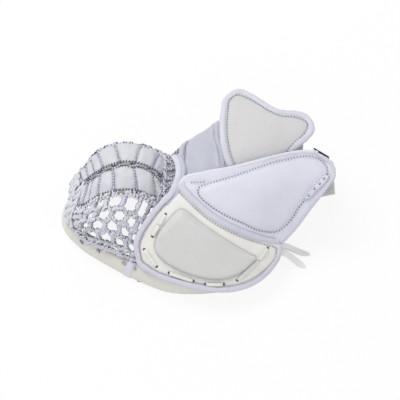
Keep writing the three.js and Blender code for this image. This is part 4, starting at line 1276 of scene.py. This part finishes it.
class CATCHGLOVE_OT_flap(Operator):
    """Makes the thumb flap: its face, its board and its thick rolled edge"""
    bl_idname = "catch_glove.flap"
    bl_label = "Thumb flap"

    def execute(self, context):
        edge = edge_seam(FLAP, FLAP_EDGE, size("edge_margin") + 1.0)
        face = leather_face([edge[0]], width=1.4, depth=0.5, seed=31, swell=0.3, wave=50.0, puff=0.6)
        build = panel(Build(), FLAP, (120, 120), -LEATHER, face, shade=drawn_in([edge[0]]))
        build.piece("flap_leather", "flap_leather", "thumb_flap", "thumb_flap_face")
        build = panel(Build(), FLAP, (60, 60), -LEATHER - CLEARANCE - FLAP_BOARD, -LEATHER - CLEARANCE,
                      u=(0.02, 0.98), v=(0.03, 0.97), rounding=2.2)
        made = build.piece("flap_core", "foam", "thumb_flap", "thumb_flap_board", sharp=80.0)
        wide = size("flap_roll_width")
        rolled("flap_roll", FLAP, FLAP_EDGE, "thumb_flap", "thumb_flap_binding", spacing=0.09,
               wide=wide / 2, high=wide * 0.4, height=-3.0, seed=33)
        sewn("flap_stitches", [edge], "thumb_flap", finish="pale_thread")
        return {"FINISHED"}


def rim_fall(v):
    """How far a rim's face falls away towards its long edges"""
    return BAND_ROUNDING * np.abs(2 * v - 1) ** 4


class CATCHGLOVE_OT_rims(Operator):
    """Makes the two rims, the tape, the lace knots and the hole in the finger side's rim"""
    bl_idname = "catch_glove.rims"
    bl_label = "Rims"

    def execute(self, context):
        for side, sheet, body in (("finger", FINGER_RIM, "hand_back"), ("thumb", THUMB_RIM, "thumb_side")):
            low_row = [(0.01, 0.93), (0.5, 0.93), (0.99, 0.93)]
            seams = [sheet.track(low_row, step=2.0, height=0.0, straight=True)[0]]
            dent = leather_face(seams, width=1.6, depth=0.8, swell=0.0)
            build = panel(Build(), sheet, (260, 44),
                          lambda p, u, v: rim_fall(v) + 0.25 * ripple(p, seed=41, length=40.0) - dent(p, u, v),
                          lambda p, u, v: BAND - rim_fall(v), rounding=5.0, floor=0.0, shade=drawn_in(seams))
            build.piece(side + "_rim_leather", "rim_leather", body, side + "_rim", sharp=180.0)

        u, v = np.meshgrid(np.linspace(*RIM_TAPE, 16), np.linspace(0.02, 0.98, 60), indexing="ij")
        outer, inner = (FINGER_RIM.raised(u, v, rim_fall(v) - back) for back in (TAPE, -0.6))
        for layer in (outer, inner):
            layer[..., 2] = np.maximum(layer[..., 2], 0.05)
        slab(Build(), outer, inner).piece("rim_tape_strip", "white_leather", "hand_back", "rim_tape")

        build = Build()
        knots = np.array(RIM_KNOTS).T
        places, ups = FINGER_RIM.raised(*knots, rim_fall(knots[1]) - 0.4), -FINGER_RIM.outward(*knots)
        for place, up in zip(places, ups):
            for angle in (0.4, 1.9):
                way = np.cross(up, (math.cos(angle), 0.1, math.sin(angle)))
                line = between(place - unit(way) * 3.6, place + unit(way) * 3.6, steps=16, lift=1.6, ups=up)
                ribbon(build, line, flat_to(line, up), wide=2.6, thick=1.5, sides=8)
        build.piece("rim_knots", "dark_lace", "hand_back")
        eyelets("rim_hole", FINGER_RIM, [RIM_HOLE], 1.2, RIM_EYELET, sides=14, way=-1, along=(1.0, 0, 0.2))
        return {"FINISHED"}


class CATCHGLOVE_OT_palm(Operator):
    """Makes the palm's leather and felt in two halves, and the leather that bridges the break"""
    bl_idname = "catch_glove.palm"
    bl_label = "Palm"

    def execute(self, context):
        for side, sheet, body in (("finger", FINGER_PALM, "hand_back"), ("thumb", THUMB_PALM, "thumb_side")):
            build = panel(Build(), sheet, (90, 60), 0.0, LEATHER, rounding=1.3)
            build.piece(side + "_palm_hide", "cream_leather", body, side + "_palm_leather")
            build = panel(Build(), sheet, (60, 40), LEATHER + CLEARANCE, LEATHER + CLEARANCE + FELT,
                          u=(0.02, 0.98), v=(0.02, 0.98), rounding=2.5)
            made = build.piece(side + "_palm_padding", "felt", body, side + "_palm_felt", sharp=80.0)
        build = panel(Build(), FOLD, (70, 50), 0.0, LEATHER, rounding=1.2)
        build.piece("fold_hide", "cream_leather", node="fold_leather")
        return {"FINISHED"}


def cell_of(build, sheet, left, right, seed, cells=(26, 22)):
    """One bulging leather cell of the pocket, between its left and right edges"""
    s, t = np.meshgrid(crowded(cells[0], 0.9), crowded(cells[1], 0.9), indexing="ij")
    low, top = (first + (last - first) * s[..., None] for first, last in zip(left, right))
    shares = low + (top - low) * t[..., None]
    shares[..., 1] += 0.006 * np.sin(s * math.pi) * (2 * t - 1)
    shares[..., 0] += 0.012 * np.sin(t * math.pi) * (2 * s - 1) * 0.4
    u, v = shares[..., 0], shares[..., 1]
    base, ups = sheet.at(u, v), sheet.outward(u, v)
    along = np.linalg.norm(base[-1] - base[0], axis=1)[None] * s
    across = np.linalg.norm(base[:, -1] - base[:, 0], axis=1)[:, None] * t
    inner = wall_distance(along, across)
    crown = size("cell_crown") * (0.9 + 0.22 * math.sin(seed * 2.7))
    edge = eased(inner, 4.5)
    swell = np.sin(s * math.pi) ** 0.5 * np.sin(t * math.pi) ** 0.45
    gathers = np.sin(s * 38.0 + seed) * np.exp(-np.minimum(across, across[:, -1:] - across) / 5.0)
    gathers = gathers + np.sin(t * 30.0 + seed * 2) * np.exp(-np.minimum(along, along[-1:] - along) / 4.0)
    high = 0.4 + crown * (0.3 * edge + 0.7 * swell) + (0.75 * ripple(base, seed, 19.0) + 0.6 * gathers) * edge
    # Painted shade: each cell darkens towards its edges, where the cells meet
    return slab(build, base + ups * high[..., None], base - ups * (2.3 * edge)[..., None],
                shade=np.exp(-(inner / 2.0) ** 2) * 0.5)


def hem(edges, end):
    """Shares along the lower or the upper ends of a row's cell edges"""
    return [edge[end] for edge in edges]


class CATCHGLOVE_OT_pocket_rows(Operator):
    """Makes the pocket's two rows of bulging leather cells, their lacing and their backing, painted dark as
    leather in shade
    """
    bl_idname = "catch_glove.pocket_rows"
    bl_label = "Pocket rows"

    def execute(self, context):
        gap = np.array([0.006, 0.0])
        crests = Build()
        for side, edges in (("thumb", THUMB_ROW_EDGES), ("finger", FINGER_ROW_EDGES)):
            build = Build()
            for seed, (left, right) in enumerate(zip(edges, edges[1:]), 60):
                cell_of(build, POCKET, np.array(left) + gap, np.array(right) - gap, seed)
            build.piece(side + "_row_cells", "row_leather", node="stem_row_" + side, sharp=80.0)

            build = Build()
            hems, dividers = [], []
            for left in edges:
                line, ups = POCKET.track(np.linspace(left[0], left[1], 8), step=1.0, height=2.6)
                ribbon(build, line, ups, wide=3.4, thick=2.0, sag=2.0)
                dividers.append((line + ups * 0.9, ups))
            for end in (0, 1):
                line, ups = POCKET.track(hem(edges, end), step=1.0, height=1.2)
                hems.append((line + ups * 1.9, ups))
                line = line + ups * (0.5 * np.sin(lengths(line) * 2 * math.pi / 3.1))[:, None]
                crest = side == "thumb" and end == 1
                sweep(crests if crest else build, line, ups, 2.6 if crest else 2.0, 1.8, sides=10)
            build.piece(side + "_row_lacing", "dark_lace", sharp=80.0)
            sewn(side + "_row_stitches", hems[:1], None, lean=62.0, scale=1.7)
            sewn(side + "_seam_stitches", hems[1:], None, lean=62.0, scale=1.1,
                 finish="pale_thread" if side == "thumb" else "thread")
            sewn(side + "_cell_stitches", dividers, None, lean=30.0, pitch=4.8, finish="pale_thread")

        crests.piece("pocket_crest", "white_lace", sharp=80.0)
        # The leather behind the rows is painted dark for the shade there, with patches of more painted shade
        build = panel(Build(), POCKET, (110, 60), -LEATHER * 2.05, -LEATHER * 1.1, u=(0.1, 0.975),
                      v=(0.36, 0.65), rounding=1.2,
                      shade=lambda p: 0.35 + 0.3 * ripple(p, seed=66, length=14.0))
        build.piece("rows_backing", "backing", node="stem_backing")

        # The tabs take the same dark colour, painted shade between the cells
        build = Build()
        for u, v in ROW_TABS:
            line, ups = POCKET.track([(u - 0.028, v), (u, v + 0.003), (u + 0.028, v)], step=1.0, height=2.4)
            sweep(build, line, ups, 2.5, 1.2, power=2.6)
        build.piece("rows_tabs", "backing", sharp=80.0)

        middle = [(u, 0.504 + 0.006 * math.sin(u * 46)) for u in np.linspace(0.12, 0.96, 60)]
        line, ups = POCKET.track(middle, step=1.0, height=0.4)
        sweep(Build(), line, ups, 2.0, 1.6, sides=10).piece("rows_seam_lace", "dark_lace", sharp=80.0)
        return {"FINISHED"}


def net_side(build, mirrored, edges, end, seed):
    """One side of the pocket net: strands along the pocket, links between them and a loop at every crossing"""
    dice = np.random.default_rng(seed)
    width, thick = size("net_width"), size("lace_thickness") * 1.5
    hem_u, hem_v = np.array(hem(edges, end)).T
    hem_v = 1 - hem_v if mirrored else hem_v

    def level(index, u):
        """Where a strand lies along v; the first one follows the row of cells"""
        return np.interp(u, hem_u, hem_v) - 0.012 if index == 0 else NET_STRANDS[index] + 0 * u

    def lace(shares, wide, height, lift=0.0, roll=0.25):
        u, v = np.array(shares, float).T
        v = np.clip(v, 0.004, 0.49)
        shares = np.stack([np.clip(u, 0.02, 0.999), 1 - v if mirrored else v], axis=-1)
        line, ups = POCKET.track(shares, 1.3, height)
        run, sideways = lengths(line), beside(line, ups)
        line = line + ups * (lift * np.sin(run * 0.55) + 0.5 * ripple(line, seed=77, length=9.0))[:, None]
        line = line + sideways * (0.6 * ripple(line, seed=78, length=11.0))[:, None]
        ups = unit(ups + sideways * (roll * ripple(line, seed=79, length=15.0))[:, None])
        ribbon(build, line, ups, wide, thick, 12)

    for index in range(len(NET_STRANDS)):
        above = NET_LINKS[index - 1] if index else []
        below = NET_LINKS[index] if index < len(NET_LINKS) else []
        pull = 0.006 if index in (0, 5) else 0.012
        bends = sorted([(u, pull) for u in above] + [(u, -pull) for u in below])
        start = 0.1 if index < 2 else 0.13
        walk = [(start, level(index, start))]
        walk += [(u, level(index, u) + bend) for u, bend in bends if u > start + 0.03]
        walk.append((0.998, level(index, 0.998)))
        for offset, rise in ((0.0045, 0.8), (-0.0045, -0.9)):
            lace([(u, v + offset * (-1) ** k) for k, (u, v) in enumerate(walk)], width * 0.8, rise, 0.5)
    for index, links in enumerate(NET_LINKS):
        for u in links:
            upper, lower = level(index, u), level(index + 1, u)
            lean = dice.uniform(-0.012, 0.012)
            for offset, rise in ((0.008, 1.2), (-0.008, -0.8)):
                lace([(u + lean + offset, upper + 0.01),
                      (u + lean * 0.4 - offset * 0.5, upper * 0.67 + lower * 0.33),
                      (u - lean * 0.4 - offset * 0.5, upper * 0.33 + lower * 0.67),
                      (u - lean + offset, lower - 0.008)], width * dice.uniform(0.8, 1.0), rise, 0.4)
            for at, shift in ((upper, lean), (lower, -lean)):
                turn = dice.uniform(0.8, 1.35)
                for way in (1, -1):
                    lace([(u + shift - 0.017 * turn, at - 0.009 * way), (u + shift, at + 0.003 * way),
                          (u + shift + 0.017 * turn, at + 0.009 * way)],
                         width * 0.72, 2.4 + 0.7 * way, lift=0.3, roll=0.5)
    for u in np.arange(0.14, 0.99, 0.034):
        top, drop = level(0, u), dice.uniform(0.02, 0.034)
        lean = dice.uniform(0.004, 0.02)
        lace([(u, top + 0.014), (u + lean, top - drop * 0.4), (u + lean * 0.4, top - drop)], width * 0.6,
             (0.6 if mirrored else 2.6) + dice.uniform(-0.5, 0.5), roll=0.6)


class CATCHGLOVE_OT_pocket_net(Operator):
    """Makes the knotted net of flat lace on both sides of the pocket's rows"""
    bl_idname = "catch_glove.pocket_net"
    bl_label = "Pocket net"

    def execute(self, context):
        for side, mirrored, edges, end in (("finger", False, FINGER_ROW_EDGES, 0),
                                           ("thumb", True, THUMB_ROW_EDGES, 1)):
            build = Build()
            net_side(build, mirrored, edges, end, 71 + mirrored)
            build.piece(side + "_net", "lace", node="pocket_net_" + side, sharp=80.0)
        return {"FINISHED"}


class CATCHGLOVE_OT_end_braids(Operator):
    """Makes the straps, plaits and laces that gather the pocket's end at the rims, and the roll there"""
    bl_idname = "catch_glove.end_braids"
    bl_label = "End braids"

    def execute(self, context):
        dice = np.random.default_rng(91)
        straps, laces, plaits = Build(), Build(), Build()
        for index in range(13):
            v = 0.03 + index / 12 * 0.94
            reach = 0.3 if v < 0.34 or v > 0.66 else 0.13
            bend = dice.uniform(-0.03, 0.03)
            shares = [(0.003, v), (reach * 0.4, np.clip(v + bend, 0.01, 0.99)),
                      (reach, np.clip(v + bend * 0.3 + (0.5 - v) * 0.1, 0.01, 0.99))]
            line, ups = POCKET.track(shares, 1.2, 1.6 + dice.uniform(-0.6, 0.9))
            run = lengths(line)
            wide = 5.0 * (0.55 + 0.45 * np.abs(np.sin(run * math.pi / 17.0 + index)))
            line = line + ups * (1.1 * np.sin(run * math.pi / 8.5 + index))[:, None]
            ups = unit(ups + beside(line, ups) * (0.4 * np.sin(run / 7.0))[:, None])
            sweep(straps if index % 3 else laces, line, ups, wide, 1.4, power=2.4, shade=0.15)
        straps.piece("end_straps", "row_leather", sharp=80.0)
        for walk, height, pitch, leaf in END_PLAITS:
            plait(plaits, POCKET, walk, height, pitch, leaf)
        plaits.piece("end_plaits", "white_lace", sharp=80.0)
        for v in (0.022, 0.978):
            plait(laces, POCKET, [(0.1, v), (0.35, v), (0.6, v), (0.78, v)], height=3.0, pitch=6.2,
                  leaf=(5.2, 2.2, 1.6), spread=32.0, tilt=0.0)
        laces.piece("end_laces", "lace", sharp=80.0)
        line, ups = POCKET.track(END_ROLL, step=1.2, height=0.6)
        run = lengths(line)
        wide = 7.0 * (0.35 + 0.65 * eased(run[-1] - run, 40.0)) + 0.3 * ripple(line, seed=95, length=18.0)
        build = sweep(Build(), line, ups, wide, 2.6, sides=18, power=2.4)
        build.piece("end_roll", "white_leather", sharp=180.0)
        return {"FINISHED"}


class CATCHGLOVE_OT_wrist(Operator):
    """Makes the wrist strap, its end and the cuff's padded palm side"""
    bl_idname = "catch_glove.wrist"
    bl_label = "Wrist"

    def execute(self, context):
        for name, sheet, body, node, reach in (("wrist_webbing", WRIST_STRAP, "hand_back", "wrist_strap", 0.93),
                                               ("strap_webbing", STRAP_END, "strap_tab", "strap_end", 1.0)):
            build = panel(Build(), sheet, (40, 40), 0.0, lambda p, u, v: WEBBING + 0.12 * np.sin(u * 120),
                          u=(0.0, reach), rounding=0.9)
            build.piece(name, "webbing", body, node)
        face = leather_face([], seed=101, wave=30.0, swell=0.4, base=PALM_CUFF)
        build = panel(Build(), CUFF_PALM, (80, 60), 0.0, face, rounding=3.4)
        made = build.piece("cuff_palm_side", "flap_leather", "hand_back", "palm_cuff", sharp=80.0)
        return {"FINISHED"}


class CATCHGLOVE_OT_insides(Operator):
    """Makes the foams and the lining, and finishes the boards"""
    bl_idname = "catch_glove.insides"
    bl_label = "Insides"

    def execute(self, context):
        under = -LEATHER - CLEARANCE
        for side, sheet, body, thick in (("finger", FINGER_BACK, "hand_back", FINGER_FOAM),
                                         ("cuff", CUFF_BACK, "hand_back", CUFF_FOAM),
                                         ("thumb", THUMB_BACK, "thumb_side", THUMB_FOAM)):
            build = panel(Build(), sheet, (80, 60), under - thick, under, u=(0.02, 0.98), v=(0.03, 0.97),
                          rounding=3.0)
            build.piece(side + "_padding", "foam", body, side + "_foam", sharp=80.0)
        deep = under - FINGER_FOAM - CLEARANCE
        build = panel(Build(), FINGER_BACK, (90, 70), deep - LINER, deep, u=(0.03, 0.97), v=(0.04, 0.96),
                      rounding=0.6)
        made = build.piece("hand_lining", "lining", "hand_back", "finger_lining")
        for node in ("cuff_stiffener", "thumb_shield"):
            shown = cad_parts[node]
            shown.data.materials.clear()
            shown.data.materials.append(material("board"))
        return {"FINISHED"}


def length_property(name, description, default):
    """A length that a user would change, in metres"""
    return FloatProperty(name=name, description=description, default=default, min=0.0001, unit="LENGTH",
                         precision=4)


def colour_property(name, description, *default):
    """A colour that a user would change"""
    return FloatVectorProperty(name=name, description=description, default=default, size=3, min=0.0, max=1.0,
                               subtype="COLOR")


class CatchGloveSizes(PropertyGroup):
    """Sizes of the glove's trim"""
    lace_width: length_property("Edge lace width",
                                "Width of the flat lace along the finger side's edge", 0.0056)
    lace_thickness: length_property("Lace thickness", "Thickness of all flat laces", 0.0014)
    tail_width: length_property("Tail width", "Width of the loose lace ends", 0.0102)
    net_width: length_property("Net lace width", "Width of the pocket net's flat lace", 0.0076)
    stitch_pitch: length_property("Stitch pitch", "Distance from one stitch to the next", 0.0048)
    stitch_length: length_property("Stitch length", "Length of one stitch", 0.0025)
    stitch_width: length_property("Stitch width", "Width of the sewing thread", 0.0017)
    seam_margin: length_property("Seam margin",
                                 "From the curved seam to the rows of stitches beside it", 0.0062)
    edge_margin: length_property("Edge margin", "From a leather's edge to its outer row of stitches", 0.0059)
    binding_width: length_property("Binding width", "Width of the rolled edge bindings", 0.009)
    binding_height: length_property("Binding height", "Height of the rolled edge bindings", 0.006)
    flap_roll_width: length_property("Flap roll width", "Width of the thumb flap's rolled edge", 0.0104)
    piping_width: length_property("Piping width", "Width of the roll along the curved seam", 0.0094)
    pad_rise: length_property("Pad rise", "How far the finger pad stands above its leather", 0.0085)
    cell_crown: length_property("Cell crown", "How far the pocket's cells bulge", 0.0062)
    tab_width: length_property("Tab width", "Width of the cuff's lace tab", 0.0125)


class CatchGloveColours(PropertyGroup):
    """Colours of the glove's finishes"""
    cream: colour_property("Cream leather",
                           "The finger side, the flap's face and the rims", 0.82, 0.81, 0.775)
    white: colour_property("White leather", "The cuff", 0.735, 0.74, 0.835)
    # Painted shade: darker than the cuff's white leather because the thumb side lies in lower light
    thumb: colour_property("Thumb leather", "The thumb side's soft leather", 0.52, 0.53, 0.61)
    # Darker than the cream leather: painted shade for the rims' low faces, and a yellower tone
    rim: colour_property("Rim leather", "The two rims the glove stands on", 0.78, 0.765, 0.705)
    white_lace: colour_property("White lace", "The broad laces plaited at the pocket's end", 0.74, 0.74, 0.8)
    plain_lace: colour_property("Plain lace", "The loose lace ends", 0.87, 0.87, 0.86)
    pale_thread: colour_property("Pale thread",
                                 "The stitches of the cuff, the flap and the thumb side", 0.33, 0.33, 0.46)
    flap: colour_property("Flap leather", "The thumb flap's face and the cuff's palm side", 0.61, 0.6, 0.61)
    row: colour_property("Row leather", "The pocket's bulging cells", 0.63, 0.63, 0.68)
    pad: colour_property("Pad leather", "The grey pad", 0.655, 0.655, 0.65)
    binding: colour_property("Binding", "The rolled edges and the piping", 0.64, 0.645, 0.735)
    lace: colour_property("Lace", "The net's lace", 0.7, 0.7, 0.78)
    fleck: colour_property("Lace fleck", "The dark thread in the net's lace", 0.06, 0.07, 0.11)
    thread: colour_property("Sewing thread", "The rows of stitches", 0.12, 0.12, 0.2)
    # Painted shadow: the near black stands for the shade inside the holes
    hole: colour_property("Holes", "The inside of eyelets and holes", 0.03, 0.03, 0.04)
    # Painted shade: the cream leather behind the pocket's rows, given the dark colour it has in shadow
    backing: colour_property("Backing", "The leather behind the pocket's rows", 0.33, 0.32, 0.26)
    foam: colour_property("Foam", "The padding inside", 0.62, 0.62, 0.58)
    felt: colour_property("Felt", "The palm's padding", 0.49, 0.49, 0.46)
    # Also given to the dark sheet behind the crotch's lacing, as painted shade
    lining: colour_property("Lining", "The cloth towards the hand", 0.33, 0.33, 0.36)
    board: colour_property("Board", "The stiff boards", 0.04, 0.04, 0.045)
    webbing: colour_property("Webbing", "The wrist strap", 0.015, 0.015, 0.017)


# The pieces in the order in which they are made; the camera and the cords come first
STEPS = (
    CATCHGLOVE_OT_stage, CATCHGLOVE_OT_lace_tails, CATCHGLOVE_OT_finger_back, CATCHGLOVE_OT_finger_pad,
    CATCHGLOVE_OT_seam_roll, CATCHGLOVE_OT_cuff, CATCHGLOVE_OT_thumb, CATCHGLOVE_OT_crotch,
    CATCHGLOVE_OT_flap, CATCHGLOVE_OT_rims, CATCHGLOVE_OT_palm, CATCHGLOVE_OT_pocket_rows,
    CATCHGLOVE_OT_pocket_net, CATCHGLOVE_OT_end_braids, CATCHGLOVE_OT_wrist, CATCHGLOVE_OT_insides,
)


class CATCHGLOVE_PT_panel(Panel):
    """Lists the glove's pieces, sizes and colours"""
    bl_idname = "CATCHGLOVE_PT_panel"
    bl_label = "Catch Glove"
    bl_space_type = "VIEW_3D"
    bl_region_type = "UI"
    bl_category = "Catch Glove"

    def draw(self, context):
        for step in STEPS:
            self.layout.operator(step.bl_idname)
        for group in (context.scene.catch_glove_sizes, context.scene.catch_glove_colours):
            for key in group.__annotations__:
                self.layout.prop(group, key)


CLASSES = (CatchGloveSizes, CatchGloveColours, *STEPS, CATCHGLOVE_PT_panel)


def register():
    for each in CLASSES:
        bpy.utils.register_class(each)
    bpy.types.Scene.catch_glove_sizes = PointerProperty(type=CatchGloveSizes)
    bpy.types.Scene.catch_glove_colours = PointerProperty(type=CatchGloveColours)


def unregister():
    del bpy.types.Scene.catch_glove_colours
    del bpy.types.Scene.catch_glove_sizes
    for each in reversed(CLASSES):
        bpy.utils.unregister_class(each)


def main():
    register()
    for step in STEPS:
        group, name = step.bl_idname.split(".")
        getattr(getattr(bpy.ops, group), name)()


if __name__ == "__main__":
    main()
